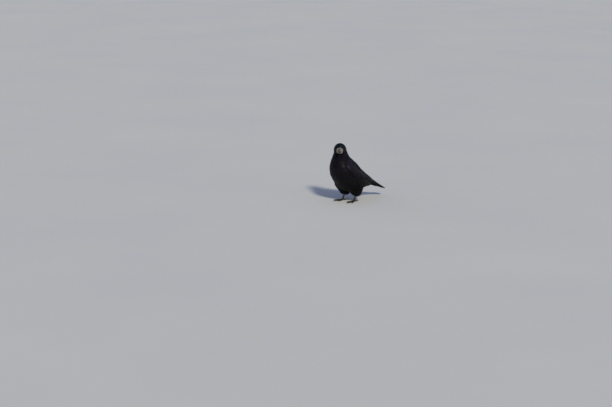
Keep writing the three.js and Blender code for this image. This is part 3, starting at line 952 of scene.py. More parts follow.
def scattered(skin, kinds, spacing):
    """Roots for feathers, spread evenly over the skin at the spacing that each place asks for."""
    chosen = np.flatnonzero(np.isin(skin.face_kind, [KINDS.index(kind) for kind in kinds]))
    corners = skin.points[skin.faces[chosen]]
    area = np.linalg.norm(np.cross(corners[:, 2] - corners[:, 0], corners[:, 3] - corners[:, 1]), axis=1)
    wanted = area / spacing[chosen] ** 2
    tries = int(wanted.sum() / 2 * 5)
    picked = chosen[grains.choice(len(chosen), tries, p=wanted / wanted.sum())]
    mix = grains.random((tries, 2))
    a, b, c, d = (skin.points[skin.faces[picked]][:, i] for i in range(4))
    u, v = mix[:, :1], mix[:, 1:]
    spots = (a * (1 - u) + b * u) * (1 - v) + (d * (1 - u) + c * u) * v
    tree = KDTree(len(spots))
    for i, spot in enumerate(spots):
        tree.insert(spot, i)
    tree.balance()
    free = np.ones(len(spots), dtype=bool)
    roots = []
    for i in range(len(spots)):
        if free[i]:
            roots.append((spots[i], picked[i]))
            for _, j, _ in tree.find_range(spots[i], spacing[picked[i]]):
                free[j] = False
    return roots


LEAST_CLEAR = 0.25  # how far a root stands off the skin, in millimetres
MOST_CLEAR = 9  # how far a stiff feather may hang off a bend


def laid_path(skin, flow, root, face, length, steps, turn, lift, stiff=0.2, base=0.0):
    """A feather's midline over the skin, and the normals under it. A stiff one hangs off a bend."""
    spot = Vector(root)
    normal = Vector(skin.face_normals[face])
    spin = Matrix.Rotation(turn, 3, normal)
    way = spin @ Vector(flow[face])
    path, normals = [], []
    before = 0.0
    for t in steps:
        way = (spin @ Vector(flow[face]) * (1 - stiff) + way * stiff).normalized()
        spot = spot + way * ((t - before) * length)
        before = t
        near, _, below, _ = skin.tree.find_nearest(spot)
        under = Vector(skin.face_normals[below])
        alike = under.dot(normal)
        if alike > 0.35:
            face = below
            clear = (spot - near).dot(under)
            spot = near + under * min(max(clear, 0.0) * (0.3 + stiff), MOST_CLEAR * MM)
            normal = (normal * (0.6 + stiff * 2) + under * alike).normalized()
        height = base + LEAST_CLEAR * MM + lift * (1 - (1 - t) ** 1.7) - lift * 0.14 * t**6
        path.append(spot + normal * height)
        normals.append(normal)
    return np.array(path), np.array(normals)


def throat_share(skin):
    """1 close under the chin, where the neck's feathers are smaller, and 0 far from it."""
    far = np.linalg.norm(skin.face_middles - np.array(in_head(*THROAT)), axis=1) / MM
    return 1 - eased((far - THROAT_REACH[0]) / THROAT_REACH[1])


def coat_sizes(skin):
    """Spacing, length, half width and lift on every face of the skin, blended where kinds meet."""
    table = np.array([COATS.get(kind, COATS["trunk"]) for kind in KINDS])
    sizes = skin.spread(table[skin.kind], 12)[skin.faces].mean(axis=1)
    smaller = throat_share(skin) * eased((sizes[:, 1] - 6) / 5)
    sizes[:, :3] *= 1 - smaller[:, None] * np.array(THROAT_SHARES)
    return sizes


def region_of(kind, spot):
    """Which coat piece a feather goes into."""
    if kind in SMALL_FEATHERS:
        return "head"
    if kind == "neck":
        return "neck"
    if kind == "thigh":
        return "thigh_left" if spot[0] > 0 else "thigh_right"
    forward, above = on_bird(spot)
    if kind == "rump" or above > BACK_FROM[1] + (forward - BACK_FROM[0]) * BACK_FROM[2]:
        return "back"
    return "breast" if forward > BREAST_FROM else "belly"


def eye_room(spot, way, length):
    """A feather's length, cut short where it would reach over an eye."""
    for name in SIDES:
        towards_eye = middle(f"eye_{name}") - Vector(spot)
        ahead = towards_eye.dot(way)
        aside = (towards_eye - way * ahead).length
        if ahead > 0 and aside < EYE_RADIUS * 0.85:
            length = min(length, max(ahead - EYE_RADIUS * 0.8, 1.2 * MM))
    return length


def puff(skin):
    """How far the coat stands off each face of the skin, in millimetres."""
    forward, above = on_bird(skin.face_middles)
    far = ((forward - FULLEST[0]) / FULLNESS[0]) ** 2
    return PUFF * np.exp(-far - ((above - FULLEST[1]) / FULLNESS[1]) ** 2)


def grows(skin, flat, wings, root, face):
    """Whether the coat has a feather at a root: none on bare skin, on a lid or well under a wing.

    None grows where it would stick straight out under the belly or a thigh either.
    """
    kind = KINDS[skin.face_kind[face]]
    if skin.face_bare[face] > dice.uniform(0.25, 0.98) or skin.face_lid[face] > 0.5:
        return False
    hanging = kind == "thigh" and (flat[face] < 0.6 or skin.face_normals[face][2] < -0.7)
    if root[2] < HANG_BELOW and (hanging or flat[face] < 0.45):
        return False
    if kind == "wing" and not any(wing.bend(root) for wing in wings):
        return False
    lapped = kind in ("trunk", "rump", "neck", "wing")
    return not (lapped and any(wing.covers(root) for wing in wings))


def grow_feather(coat, skin, flow, root, face, size, stand):
    """One feather of the coat. Those of the thighs and of the lower belly hang loose."""
    kind = KINDS[skin.face_kind[face]]
    bare = skin.face_bare[face]
    _, length, half, lift = size
    low = float(eased((LOOSE_BELOW - root[2]) / LOOSE_BLUR))
    loose = 1.0 if kind == "thigh" else low * (kind == "trunk")
    length *= 1 + dice.uniform(-0.13, 0.13)
    half *= 1 - 0.3 * loose * (kind != "thigh")
    length *= 1 - 0.6 * bare
    half *= 1 - 0.4 * bare
    length = eye_room(root, Vector(flow[face]), length * MM) / MM
    if kind == "thigh":
        length = max(min(length, root[2] / MM - TROUSER_HEM), 5.0)
    half = min(half, length * 0.35)
    turn = math.radians(dice.gauss(0, 6 + 8 * loose))
    raised = lift * (1 + 0.25 * loose) * dice.uniform(0.85, 1.12) * MM
    small = kind in SMALL_FEATHERS
    steps = FEW if small else FINE
    stiff = 0.2 + 0.45 * loose
    path, normals = laid_path(
        skin, flow, root, face, length * MM, steps, turn, raised, stiff=stiff, base=stand,
    )
    if kind == "neck" or small:
        widths = outline(steps, 0.45, 0.5, 0.14)
    else:
        widths = outline(steps, 0.42, 0.6 - 0.12 * loose, 0.3 - 0.2 * loose)
    coat.feather(
        path, normals, widths * half * MM, NARROW if small else BROAD, skin.face_places[face],
        camber=0.16 if small else 0.1, fringe=0.08 + 0.16 * loose + 0.06 * (kind == "neck"),
    )


def body_coat(skin, flow, flat, wings):
    """The contour feathers, as one coat for each region of the body."""
    sizes = coat_sizes(skin)
    stand = puff(skin) * MM
    coats = {}
    for root, face in scattered(skin, COATS, sizes[:, 0] * MM):
        if grows(skin, flat, wings, root, face):
            region = region_of(KINDS[skin.face_kind[face]], root)
            if region not in coats:
                coats[region] = Coat("coat_" + region)
            grow_feather(coats[region], skin, flow, root, face, sizes[face], stand[face])
    ring_of_lashes(coats["head"], skin, flow)
    return coats


LASH_RINGS = ((0.84, 30), (1.02, 36))  # each ring's size, against the eye's, and its count


def ring_of_lashes(coat, skin, flow):
    """Two rings of the smallest feathers, which grow out from each eye's lid."""
    for name, side in SIDES.items():
        outward = eye_axis(side)
        front = eye_middle(name) + outward * EYE_RADIUS * 0.7
        first = outward.cross(UP).normalized()
        second = outward.cross(first)
        for ring, count in LASH_RINGS:
            for i in range(count):
                turn = 2 * math.pi * (i + dice.uniform(-0.2, 0.2)) / count
                aside = (first * math.cos(turn) + second * math.sin(turn)) * EYE_RADIUS * ring
                root, _, face, _ = skin.tree.find_nearest(front + aside)
                length = dice.uniform(1.9, 2.5) * MM
                path, normals = laid_path(skin, flow, root, face, length, FEW, 0.0, 0.35 * MM)
                widths = outline(FEW, 0.5, 0.5, 0.15) * 0.36 * MM
                coat.feather(path, normals, widths, NARROW, skin.face_places[face], camber=0.16)


# ---------- folded wings ----------
# The wing's upper edge, outermost line and lower edge from its bend to its tip. Each point is to the
# side, forward and above, in millimetres.
WING = (
    ((48, 80, 198), (57, 85, 186), (55, 82, 173)),
    ((38, 55, 209), (66, 66, 174), (64, 60, 145)),
    ((25, 20, 198), (69, 32, 156), (65, 26, 122)),
    ((13, -15, 171.5), (64, -8, 135), (59, -16, 104)),
    ((6, -50, 146), (51, -50, 115), (46, -56, 91)),
    ((4, -90, 114), (36, -92, 94), (34, -96, 77)),
    ((4, -134, 81.5), (24, -136, 71), (24, -138, 61)),
    ((6, -183, 49.5), (13, -184, 47), (15, -184, 44.5)),
)
WELL_ALONG = (0.11, 0.93)  # the parts of the wing's length and height that hide the body's feathers
WELL_DOWN = (0.1, 0.94)
WING_THICK = 45  # how far behind the wing's surface the body can be and still be covered, in millimetres
BEND_END = 0.05  # how far along the wing its bend reaches
BEND_DEPTH = 12  # how far from the wing's surface a feather of the bend may grow, in millimetres
SHEET_LONG = 50
SHEET_TALL = 16


def along_curve(points, t):
    """A smooth curve through points, at t from 0 to 1. It runs on straight past its ends."""
    last = len(points) - 1
    place = min(max(t, 0), 1) * last
    i = min(int(place), last - 1)
    f = place - i
    p1, p2 = points[i], points[i + 1]
    p0 = points[i - 1] if i > 0 else 2 * p1 - p2
    p3 = points[i + 2] if i + 2 <= last else 2 * p2 - p1
    inside = p1 + 0.5 * f * (p2 - p0 + f * (2 * p0 - 5 * p1 + 4 * p2 - p3 + f * (3 * (p1 - p2) + p3 - p0)))
    return inside + (p2 - p1) * (t - min(max(t, 0), 1)) * last


class Wing:
    """The outer surface of a folded wing. a runs from its bend to its tip, b from its upper edge down."""

    def __init__(self, name):
        self.name = name
        self.side = SIDES[name]
        places = [[bird(self.side * left, forward, above) for left, forward, above in row] for row in WING]
        self.upper, self.outer, self.lower = (np.array([row[i] for row in places]) for i in range(3))
        self.chart()

    def point(self, a, b):
        """A place on the surface, which bows out from its upper to its lower edge."""
        upper, outer, lower = (along_curve(line, a) for line in (self.upper, self.outer, self.lower))
        bow = 2 * outer - (upper + lower) / 2
        return upper * (1 - b) ** 2 + bow * 2 * b * (1 - b) + lower * b**2

    def normal(self, a, b):
        """The way out of the surface."""
        step = 0.01
        along = self.point(a + step, b) - self.point(a - step, b)
        down = self.point(a, b + step) - self.point(a, b - step)
        made = np.cross(down, along) * self.side
        return made / np.linalg.norm(made)

    def chart(self):
        """A coarse sheet of the wing, to tell what lies under it."""
        long, tall = SHEET_LONG, SHEET_TALL
        places = [(i / long, k / tall) for i in range(long + 1) for k in range(tall + 1)]
        points = [tuple(self.point(a, b)) for a, b in places]
        cells = [(i, k) for i in range(long) for k in range(tall)]
        first = [i * (tall + 1) + k for i, k in cells]
        self.sheet = BVHTree.FromPolygons(points, [(f, f + 1, f + tall + 2, f + tall + 1) for f in first])
        self.cells = [((i + 0.5) / long, (k + 0.5) / tall) for i, k in cells]

    def covers(self, spot):
        """True well inside the wing's edges and behind its surface."""
        near, _, cell, far = self.sheet.find_nearest(Vector(spot))
        a, b = self.cells[cell]
        inside = WELL_ALONG[0] < a < WELL_ALONG[1] and WELL_DOWN[0] < b < WELL_DOWN[1]
        if not inside or far > WING_THICK * MM:
            return False
        return (Vector(spot) - near).dot(Vector(self.normal(a, b))) < MM

    def bend(self, spot):
        """True at the front of this wing, where feathers of the breast and shoulder lap over it."""
        _, _, cell, far = self.sheet.find_nearest(Vector(spot))
        return self.cells[cell][0] < BEND_END and far < BEND_DEPTH * MM

    def path(self, root, tip, bow, low, high, steps):
        """A midline over the wing from root to tip, each a and b, at heights from low to high."""
        path, normals = [], []
        for t in steps:
            a = mixed(root[0], tip[0], t)
            b = mixed(root[1], tip[1], t) + bow * math.sin(math.pi * t)
            normal = self.normal(a, b)
            path.append(self.point(a, b) + normal * mixed(low, high, t) * MM)
            normals.append(normal)
        return np.array(path), np.array(normals)

    def lay(self, coat, skin, root, tip, half, low, high, shape, bow=0.0, tilt=0.5, steps=SHORT, **looks):
        """One feather on the wing, tilted so that its lower edge lies over the next one down."""
        path, normals = self.path(root, tip, bow, low, high, steps)
        looks = {"camber": 0.035, "tilt": -tilt * self.side, "ridge": 0.2, "fringe": 0.03, **looks}
        coat.lay(skin, path, normals, steps, shape, half, RIDGED, under=len(path) // 3, **looks)

    def row(self, coat, skin, count, root, tip, half, low, high, shape, **looks):
        """A row of feathers, shingled down the wing. Each value is given at its top and at its foot."""
        for i in range(count):
            s = i / max(count - 1, 1)
            jitter = dice.uniform(-0.005, 0.005)
            begin = (mixed(*root[0], s) + jitter, mixed(*root[1], s))
            end = (mixed(*tip[0], s) + jitter, mixed(*tip[1], s) + dice.uniform(-0.006, 0.006))
            heights = (mixed(*low, s), mixed(*high, s))
            self.lay(coat, skin, begin, end, mixed(*half, s), *heights, shape, **looks)


# The primaries' tips, from the inmost to the outmost: how far along the wing, and how far down it.
PRIMARIES = (
    (0.810, 0.10), (0.845, 0.12), (0.880, 0.15), (0.915, 0.20), (0.948, 0.27),
    (0.978, 0.36), (0.996, 0.47), (0.985, 0.60), (0.945, 0.74), (0.880, 0.84),
)
# The wing's other rows. Roots and tips are places along and down the wing. Half widths, and the heights
# of root and tip off its surface, are in millimetres. shape is a feather's outline.
SECONDARIES = dict(
    count=10, root=((0.28, 0.36), (0.2, 0.86)), tip=((0.75, 0.655), (0.16, 0.93)), half=(9.5, 8.0),
    low=(-2.2, -2.4), high=(-0.5, -1.2), shape=(0.7, 0.55, 0.16), bow=0.02, tilt=0.6, steps=LONG, ridge=0.3,
)
TERTIALS = dict(
    count=4, root=((0.24, 0.27), (0.1, 0.24)), tip=((0.78, 0.70), (0.12, 0.23)), half=(9.4, 9.4),
    low=(-1.4, -1.6), high=(0.5, 0.1), shape=(0.6, 0.5, 0.14), tilt=0.6, steps=LONG, ridge=0.3,
)
PRIMARY_COVERTS = dict(
    count=7, root=((0.3, 0.42), (0.88, 0.97)), tip=((0.5, 0.66), (0.9, 0.97)), half=(5.5, 4.6),
    low=(-1.8, -1.8), high=(-0.6, -0.6), shape=(0.6, 0.6, 0.35), tilt=0.4,
)
GREATER_COVERTS = dict(
    count=13, root=((0.24, 0.3), (0.1, 0.94)), tip=((0.48, 0.465), (0.1, 0.97)), half=(7.6, 6.2),
    low=(-1.7, -1.7), high=(0.1, -0.1), shape=(0.6, 0.58, 0.25), tilt=0.5,
)
MEDIAN_COVERTS = dict(
    count=13, root=((0.19, 0.22), (0.08, 0.95)), tip=((0.35, 0.335), (0.1, 0.98)), half=(6.8, 5.6),
    low=(-1.4, -1.4), high=(0.5, 0.4), shape=(0.6, 0.56, 0.28), tilt=0.45, ridge=0.15,
)
LESSER_COVERTS = dict(
    low=(-1.0, -1.0), high=(0.75, 0.7), shape=(0.5, 0.6, 0.4), tilt=0.3, ridge=0.08, fringe=0.06,
)
LESSER_ROWS = 11
LESSER_SPACING = 4.9  # how far apart the feathers of the first row are, in millimetres
# Each row of scapulars: where it starts and ends along the wing, and how far down it lies.
SCAPULARS = ((0.12, 0.5, 0.22), (0.08, 0.47, 0.14), (0.05, 0.44, 0.08), (0.02, 0.4, 0.03))
SCAPULAR_COUNT = 14


def flight_feathers(wing, skin):
    """The primaries, the secondaries over them and the tertials on top."""
    coat = Coat(f"flight_{wing.name}")
    for i, tip in enumerate(PRIMARIES):
        s = i / (len(PRIMARIES) - 1)
        root = (0.5, mixed(0.3, 0.9, s))
        half = 8.6 * (1 - 0.35 * eased((tip[0] - 0.9) / 0.1))
        heights = (mixed(-2.0, -2.8, s), mixed(-0.9, -2.1, s))
        shape = (0.75, 0.45, 0.12)
        wing.lay(coat, skin, root, tip, half, *heights, shape, tilt=0.45, steps=LONG, ridge=0.3)
    wing.row(coat, skin, **SECONDARIES)
    wing.row(coat, skin, **TERTIALS)
    return coat


def wing_coverts(wing, skin):
    """The coverts, whose rows lap over each other from the flight feathers up to the wing's bend."""
    coat = Coat(f"coverts_{wing.name}")
    for row in (PRIMARY_COVERTS, GREATER_COVERTS, MEDIAN_COVERTS):
        wing.row(coat, skin, **row)
    for row in range(LESSER_ROWS):
        share = row / (LESSER_ROWS - 1)
        start = mixed(0.185, 0.005, share)
        end = start + mixed(0.09, 0.07, share)
        tall = np.linalg.norm(wing.point(end, 0.97) - wing.point(end, 0.05)) / MM
        count = int(tall / (LESSER_SPACING - share)) + row % 2
        shift = 0.03 * (row % 2)
        root = ((start, start), (0.05 + shift, 0.97))
        tip = ((end, end), (0.06 + shift, 0.99))
        half = (mixed(5.6, 4.1, share), mixed(4.8, 3.5, share))
        wing.row(coat, skin, count, root, tip, half, **LESSER_COVERTS)
    return coat


def scapulars(wing, skin):
    """The large soft feathers of the shoulder, which cover the wing's upper edge."""
    coat = Coat(f"scapulars_{wing.name}")
    looks = dict(shape=(0.5, 0.55, 0.22), tilt=0.25, ridge=0.1, fringe=0.06)
    for row, (first, last, down) in enumerate(SCAPULARS):
        for i in range(SCAPULAR_COUNT):
            a = mixed(first, last, ((i + 0.5 * (row % 2)) / SCAPULAR_COUNT) ** 1.2)
            grown = float(eased(0.15 + a / 0.28))
            reach = mixed(0.06, 0.13, grown) + dice.uniform(-0.01, 0.01)
            tip = (a + reach, down + 0.03 + dice.uniform(-0.015, 0.015))
            half = mixed(4.6, 8.2 - 0.6 * row, grown)
            heights = (-1.3 + row * 0.2, 1.6 + row * 0.1)
            wing.lay(coat, skin, (a, down - 0.05), tip, half, *heights, **looks)
    return coat


BRIDGE_ARCH = 0.16  # how far a feather that bridges the gap to a wing arches, against its reach


def bridge(coat, skin, spot, wing, tip, height, half):
    """A loose feather from the body's skin that ends on the wing's surface, and so laps over its edge."""
    root, _, face, _ = skin.tree.find_nearest(Vector(spot))
    under = Vector(skin.face_normals[face])
    out = Vector(wing.normal(*tip))
    root = root + under * 0.8 * MM
    end = Vector(wing.point(*tip)) + out * height * MM
    reach = (end - root).length
    knee = root.lerp(end, 0.5) + (under + out).normalized() * reach * BRIDGE_ARCH
    path, normals = [], []
    for t in FINE:
        path.append(root * (1 - t) ** 2 + knee * 2 * t * (1 - t) + end * t**2)
        normals.append(under.lerp(out, t).normalized())
    widths = outline(FINE, 0.45, 0.6, 0.3) * half * MM
    place = skin.face_places[face]
    coat.feather(np.array(path), np.array(normals), widths, BROAD, place, camber=0.1, fringe=0.1)


FLANK_ROWS = (2, 1, 0)
FLANK_COUNT = 30


def flank_feathers(wing, skin):
    """Loose feathers of the breast's side and flank, which lap over the wing's front and lower edges."""
    coat = Coat(f"flank_{wing.name}")
    for row in FLANK_ROWS:
        for i in range(FLANK_COUNT):
            a = 0.1 + 0.48 * (i + 0.5 * (row % 2) + dice.uniform(-0.2, 0.2)) / FLANK_COUNT
            edge = Vector(wing.point(a, 1.0))
            down = (edge - Vector(wing.point(a, 0.92))).normalized()
            spot = edge + down * ((5 + row * 6) * MM)
            further = a + 0.075 + dice.uniform(-0.008, 0.008)
            tip = (further, 0.93 + row * 0.055 + dice.uniform(-0.015, 0.015))
            bridge(coat, skin, spot, wing, tip, 1.5 - row * 0.3, 5.2)
    return coat


BACK_COUNT = 76


def back_feathers(wings, skin):
    """Feathers along the middle of the back, which close the gap between the folded wings."""
    coat = Coat("back_middle")
    for i in range(BACK_COUNT):
        s = i / (BACK_COUNT - 1)
        start = mixed(0.2, 0.86, s)
        left = (i % 3 - 1) * mixed(4.4, 3.2, s) + dice.uniform(-0.6, 0.6)
        low = -2.9 - 6.2 * eased((s - 0.66) / 0.34)
        path = []
        for t in FINE:
            ends = [wing.point(start + 0.11 * t, 0.0) for wing in wings]
            path.append((ends[0] + ends[1]) / 2 + np.array([left, 0, low + 2.0 * t]) * MM)
        normals = unit(np.cross(np.gradient(path, axis=0), np.array([1.0, 0, 0])))
        normals *= np.sign(normals[:, 2:])
        normals += np.array([left * 0.05, 0, 0])
        coat.lay(skin, path, normals, FINE, (0.5, 0.58, 0.24), 5.4, BROAD, camber=0.1, fringe=0.1)
    return coat


# ---------- tail ----------
# The tail's upper and lower middle lines, forward and above, and its half width, from root to tip.
TAIL_TOP = ((-84, 94), (-112, 81), (-145, 64), (-172, 50.5), (-191, 42.5))
TAIL_UNDER = ((-80, 72), (-110, 64), (-144, 53.5), (-171, 45), (-190.5, 39.5))
TAIL_HALF = (18, 22, 27, 29, 26)
TAIL_UP = np.array(towards(0.42, 0.9))
TAIL_PAIRS = 6
COVERT_ROWS = 7


def tail_point(line_points, a, left):
    """A point on the tail's middle line, moved sideways. a runs from its root to its tip."""
    forward, above = along_curve(np.array(line_points, dtype=float), a)
    return np.array(bird(left, forward, above))


def tail_half(a):
    """The tail's half width at a."""
    return float(np.interp(a, np.linspace(0, 1, len(TAIL_HALF)), TAIL_HALF))


def tail_feathers(skin):
    """Six pairs, the middle pair on top. The outer ones are a little shorter and turn out and down."""
    coat = Coat("tail_feathers")
    looks = dict(camber=0.045, ridge=0.35, fringe=0.02)
    for pair in reversed(range(TAIL_PAIRS)):
        out = pair / (TAIL_PAIRS - 1)
        for side in SIDES.values():
            level = 0.12 + 0.6 * out + (0.04 if side < 0 else 0.0)
            path = []
            for t in LONG:
                a = 0.02 + (0.98 - 0.035 * out**2) * t
                left = side * (2.5 + (tail_half(a) - 11.5) * out * (0.35 + 0.65 * t))
                top, under = tail_point(TAIL_TOP, a, left), tail_point(TAIL_UNDER, a, left)
                path.append(mixed(top, under, level) - TAIL_UP * 1.5 * MM * out**2)
            normals = np.tile(TAIL_UP + np.array([side * 0.16 * out, 0, 0]), (len(LONG), 1))
            shape = (0.55, 0.74, 0.45)
            half = 12.0 - 1.5 * out
            coat.lay(skin, path, normals, LONG, shape, half, RIDGED, tilt=-0.4 * side, **looks)
    return coat


def tail_coverts(skin):
    """Feathers that lap from the rump over the tail's root, above and below."""
    coat = Coat("tail_coverts")
    for lines, up, reach, heap in ((TAIL_TOP, TAIL_UP, 0.34, 7.5), (TAIL_UNDER, -TAIL_UP, 0.42, 0.0)):
        for row in range(COVERT_ROWS):
            count = 11 if row % 2 else 10
            for i in range(count):
                across = (i - (count - 1) / 2) / ((count - 1) / 2)
                start = -0.24 + 0.075 * row + dice.uniform(-0.012, 0.012)
                length = reach * (1 - 0.25 * abs(across)) * dice.uniform(0.9, 1.08)
                crown = heap * math.exp(-((across / 0.55) ** 2))
                path = []
                for t in FINE:
                    a = start + length * t
                    here = tail_point(lines, a, across * tail_half(a) * 0.92)
                    height = -1.4 + 2.8 * t - 6.5 * across**2 + (COVERT_ROWS - row) * 0.08
                    height += crown * (1 - float(eased((a - 0.15) / 0.45)))
                    path.append(here + up * height * MM)
                normal = up * (1 - 0.45 * across**2) + np.array([across * 0.75, 0, 0])
                normals = np.tile(normal, (len(FINE), 1))
                coat.lay(skin, path, normals, FINE, (0.5, 0.6, 0.28), 6.2, BROAD, camber=0.1, fringe=0.12)
    return coat


# ---------- bill ----------
def bill_half(upper):
    """One half of the bill, arched over a flat gape or keeled under it.

    keel raises a ridge down its middle, rolled draws in a groove along its lip, and hollow dishes the gape.
    """
    sign = 1 if upper else -1
    depth = BILL["upper"] if upper else BILL["lower"]
    taper = BILL["upper_taper"] if upper else BILL["lower_taper"]
    end = BILL["tip"] if upper else BILL["tip"] - BILL["overhang"]
    start = BILL["start"]
    long, arch, flat = 64, 28, 6  # points along it, over its arch and across its gape
    rings, shares = [], []
    for i in range(long):
        share = (i / (long - 1)) ** 0.9 * 0.995
        ahead = start + (end - start) * share
        lip = BILL["gape"] - BILL["droop"] * ((ahead - start) / (BILL["tip"] - start)) ** 3 + sign * 0.12
        thick = depth * (1 - share**taper) + BILL["edge"] * (1 - share**8)
        half = BILL["half"] * (1 - share) ** BILL["side_taper"] + BILL["edge"] * (1 - share**6)
        ring = []
        for k in range(arch):
            turn = math.pi * k / (arch - 1)
            c, s = math.cos(turn), math.sin(turn)
            keel = 1 + 0.05 * math.exp(-(((turn - math.pi / 2) / 0.25) ** 2))
            rolled = 1 - 0.035 * math.exp(-(((s - 0.16) / 0.1) ** 2))
            left = math.copysign(abs(c) ** 0.85, c) * half * rolled
            ring.append(in_head(left, ahead, lip + sign * s**1.1 * thick * keel))
        for k in range(1, flat):
            left = -half + 2 * half * k / flat
            hollow = 0.25 * (1 - (left / half) ** 2) * (1 - share)
            ring.append(in_head(left, ahead, lip + sign * hollow))
        rings.append(ring if upper else ring[::-1])
        shares.append(share)
    points, triangles = closed_loft(rings)
    piece = mesh_of("bill_over" if upper else "bill_under", points, triangles)
    piece.data.shade_smooth()
    keep_numbers(piece, "along", [share for share in shares for _ in rings[0]] + [0.0, 1.0])
    return piece


# ---------- eyes ----------
def eye_middle(name):
    """The eyeball sits a millimetre deeper in the head than the solid that it stands for."""
    return middle(f"eye_{name}") - eye_axis(SIDES[name]) * MM


CORNEA_BULGE = 0.045  # how far the clear front stands out, as a share of the eye's radius
CORNEA_EDGE = 0.22  # how far out it reaches, as a share of a half turn


def eyeball(name):
    """A ball that bulges at its clear front. along is how far each point is from its middle."""
    centre = eye_middle(name)
    bm = bmesh.new()
    bmesh.ops.create_uvsphere(bm, u_segments=48, v_segments=32, radius=EYE_RADIUS)
    turn = UP.rotation_difference(eye_axis(SIDES[name]))
    along = []
    for vert in bm.verts:
        off = vert.co.normalized().angle(UP) / math.pi
        along.append(off)
        bulge = 1 + CORNEA_BULGE * max(0.0, 1 - off / CORNEA_EDGE) ** 2
        vert.co = centre + turn @ (vert.co * bulge)
    mesh = bpy.data.meshes.new(f"eyeball_{name}")
    bm.to_mesh(mesh)
    bm.free()
    mesh.shade_smooth()
    piece = bpy.data.objects.new(f"eyeball_{name}", mesh)
    bpy.context.scene.collection.objects.link(piece)
    keep_numbers(piece, "along", along)
    return piece


# ---------- feet ----------
FOOT_SIDE = 31
FOOT_FORWARD = 15
STEP = {"left": 2, "right": 20}  # how far forward each foot is put
TOE_OUT = 9  # how far a foot turns out, in degrees
# Each toe's turn from the foot's own heading, its length, and its claw's reach.
TOE_PLAN = {"inner": (27, 30, 12), "middle": (0, 40, 14), "outer": (-27, 31, 12), "hind": (176, 21, 17)}
TOE_HALF = 4.5  # the most that a toe reaches beside its own line, in millimetres
TOE_ROOT = 2.5  # how far from the foot's middle a toe's scales start
TOE_SCALE = 3.3  # the length of one scale along a toe
SHANK_SCALES = 11.0
SCALE_HEIGHT = 0.5
ANKLE = 0.12  # the share of the shank's height that belongs to the toes
# A claw's line: how far past the toe's end as a share of its reach, its height and its radius.
CLAW = (
    (-0.45, 3.1, 1.9), (-0.18, 3.3, 2.25), (0.1, 3.6, 2.15), (0.35, 3.8, 1.8),
    (0.62, 3.1, 1.25), (0.82, 1.85, 0.8), (0.94, 0.75, 0.38), (0.985, 0.3, 0.12),
)
CLAW_SIDE = 0.78  # how wide and how deep underneath it is, against its height over its line
CLAW_UNDER = 0.75


def foot(name):
    """The middle of a foot, on the floor."""
    return bird(SIDES[name] * FOOT_SIDE, FOOT_FORWARD + STEP[name], 0)


def toe_way(name, toe):
    """The way a toe points."""
    heading = SIDES[name] * math.radians(TOE_OUT - TOE_PLAN[toe][0])
    return Vector((math.sin(heading), -math.cos(heading), 0))


def claw(name, toe):
    """A curved, tapering claw, flatter underneath, that grows out of the toe's end."""
    _, length, reach = TOE_PLAN[toe]
    way = toe_way(name, toe)
    side = way.cross(UP)
    line = np.array(CLAW)
    rings = []
    steps, around = 22, 16  # points along it and round it
    for i in range(steps):
        past, above, radius = along_curve(line, i / (steps - 1))
        centre = foot(name) + way * (length + reach * past) * MM + UP * above * MM
        ring = []
        for k in range(around):
            turn = 2 * math.pi * k / around
            tall = math.sin(turn) * (1.0 if math.sin(turn) > 0 else CLAW_UNDER)
            ring.append(centre + (side * math.cos(turn) * CLAW_SIDE + UP * tall) * radius * MM)
        rings.append(ring)
    piece = mesh_of(f"claw_{name}_{toe}_horn", *closed_loft(rings))
    piece.data.shade_smooth()
    return piece


# ---------- floor, light and camera ----------
VIEW_AZIMUTH = math.radians(50)
VIEW_ELEVATION = math.radians(12)
VIEW_DISTANCE = 6.9
ASIDE = 0.221  # how far the bird stands to the right of what the camera looks at, in metres
HIGHER = 0.0508  # how far it stands above that
LENS = 85.4
SENSOR = 36
# The studio's brightness, from level with the floor up to overhead.
STUDIO = ((0.0, (0.447, 0.459, 0.477)), (0.1, (0.40, 0.42, 0.47)), (0.9, (0.085, 0.125, 0.245)))
FLOOR_RADIUS = 60


def direction(azimuth, elevation):
    """The way to something seen at an azimuth, from -Y towards +X, and an elevation."""
    level = math.cos(elevation)
    return Vector((math.sin(azimuth) * level, -math.cos(azimuth) * level, math.sin(elevation)))


def set_camera():
    lens = bpy.data.cameras.new("camera")
    lens.sensor_width = SENSOR
    lens.lens = LENS
    lens.clip_end = 200
    camera = bpy.data.objects.new("camera", lens)
    bpy.context.scene.collection.objects.link(camera)
    stand = bird(0, 0, 35)
    back = direction(VIEW_AZIMUTH, VIEW_ELEVATION)
    camera.location = stand + back * VIEW_DISTANCE
    right = Vector((math.cos(VIEW_AZIMUTH), math.sin(VIEW_AZIMUTH), 0))
    up = right.cross(-back)
    target = stand - right * ASIDE - up * HIGHER
    camera.rotation_euler = (target - camera.location).to_track_quat("-Z", "Y").to_euler()
    bpy.context.scene.camera = camera


def soft_sun(name, azimuth, elevation, softness, power, colour):
    """A far lamp: it lights the floor as evenly as the bird. Its angles are in degrees."""
    lamp = bpy.data.lights.new(name, "SUN")
    lamp.angle = math.radians(softness)
    lamp.energy = power
    lamp.color = colour
    light = bpy.data.objects.new(name, lamp)
    bpy.context.scene.collection.objects.link(light)
    way = direction(math.radians(azimuth), math.radians(elevation))
    light.location = way * 5
    light.rotation_euler = (-way).to_track_quat("-Z", "Y").to_euler()


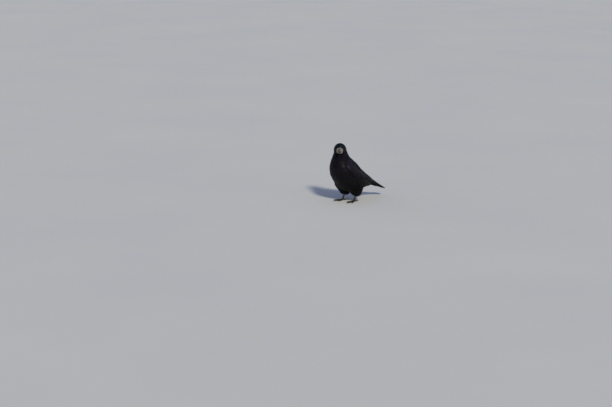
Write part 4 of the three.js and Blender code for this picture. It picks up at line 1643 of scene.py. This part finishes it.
def set_world():
    """A plain studio round the floor: as pale as the floor low down, and dimmer overhead."""
    world = bpy.data.worlds.new("studio")
    world.use_nodes = True
    tree = world.node_tree
    place = tree.nodes.new("ShaderNodeTexCoord")
    split = tree.nodes.new("ShaderNodeSeparateXYZ")
    ramp = tree.nodes.new("ShaderNodeValToRGB")
    lay_stops(ramp.color_ramp, STUDIO)
    tree.links.new(place.outputs["Generated"], split.inputs["Vector"])
    tree.links.new(split.outputs["Z"], ramp.inputs["Fac"])
    tree.links.new(ramp.outputs["Color"], tree.nodes["Background"].inputs["Color"])
    bpy.context.scene.world = world


def set_stage():
    """The floor, the studio round it and its one lamp."""
    bm = bmesh.new()
    bmesh.ops.create_circle(bm, cap_ends=True, segments=96, radius=FLOOR_RADIUS)
    mesh = bpy.data.meshes.new("floor")
    bm.to_mesh(mesh)
    bm.free()
    floor = bpy.data.objects.new("floor", mesh)
    floor.data.materials.append(floor_finish())
    bpy.context.scene.collection.objects.link(floor)
    warm = (1.0, 0.942, 0.742)
    soft_sun("key", azimuth=71, elevation=36, softness=8, power=1.99, colour=warm)
    set_world()
    bpy.context.scene.view_settings.view_transform = "Standard"


# ---------- putting the bird together ----------
def dress():
    """Makes every piece of the bird."""
    skin = Skin()
    finish_piece(skin.piece, skin_finish(), "plumage", *SKIN_NODES)
    wings = [Wing(name) for name in SIDES]

    worn = rgb(0.034, 0.028, 0.023)
    contour = plumage("contour_feathers", BODY_GLOSS, shine=0.45, rough=0.34, mirror=0.11)
    covert = plumage("wing_feathers", WING_GLOSS, shine=0.5, rough=0.31)
    flight = plumage("flight_feathers", FLIGHT_GLOSS, shine=0.45, rough=0.3, worn=worn)
    for coat in body_coat(skin, *lie_of_coat(skin), wings).values():
        coat.build(contour, "plumage")
    for wing in wings:
        flight_feathers(wing, skin).build(flight, "flight_feathers", f"wing_{wing.name}_primaries")
        wing_coverts(wing, skin).build(covert, "plumage")
        scapulars(wing, skin).build(covert, "plumage")
        flank_feathers(wing, skin).build(contour, "plumage")
    back_feathers(wings, skin).build(covert, "plumage")
    tail_feathers(skin).build(flight, "flight_feathers", "tail")
    tail_coverts(skin).build(contour, "plumage")

    over = horn_finish("upper_bill", pale_share=0.25)
    under = horn_finish("lower_bill", pale_share=0.29)
    finish_piece(bill_half(upper=True), over, "bill_horn", "bill_upper")
    finish_piece(bill_half(upper=False), under, "bill_horn", "bill_lower")
    wet = eye_finish()
    horn = claw_finish()
    for name in SIDES:
        finish_piece(eyeball(name), wet, "eye", f"eye_{name}")
        for toe in TOES:
            finish_piece(claw(name, toe), horn, "claw", f"claw_{name}_{toe}")


set_camera()
set_stage()
dress()
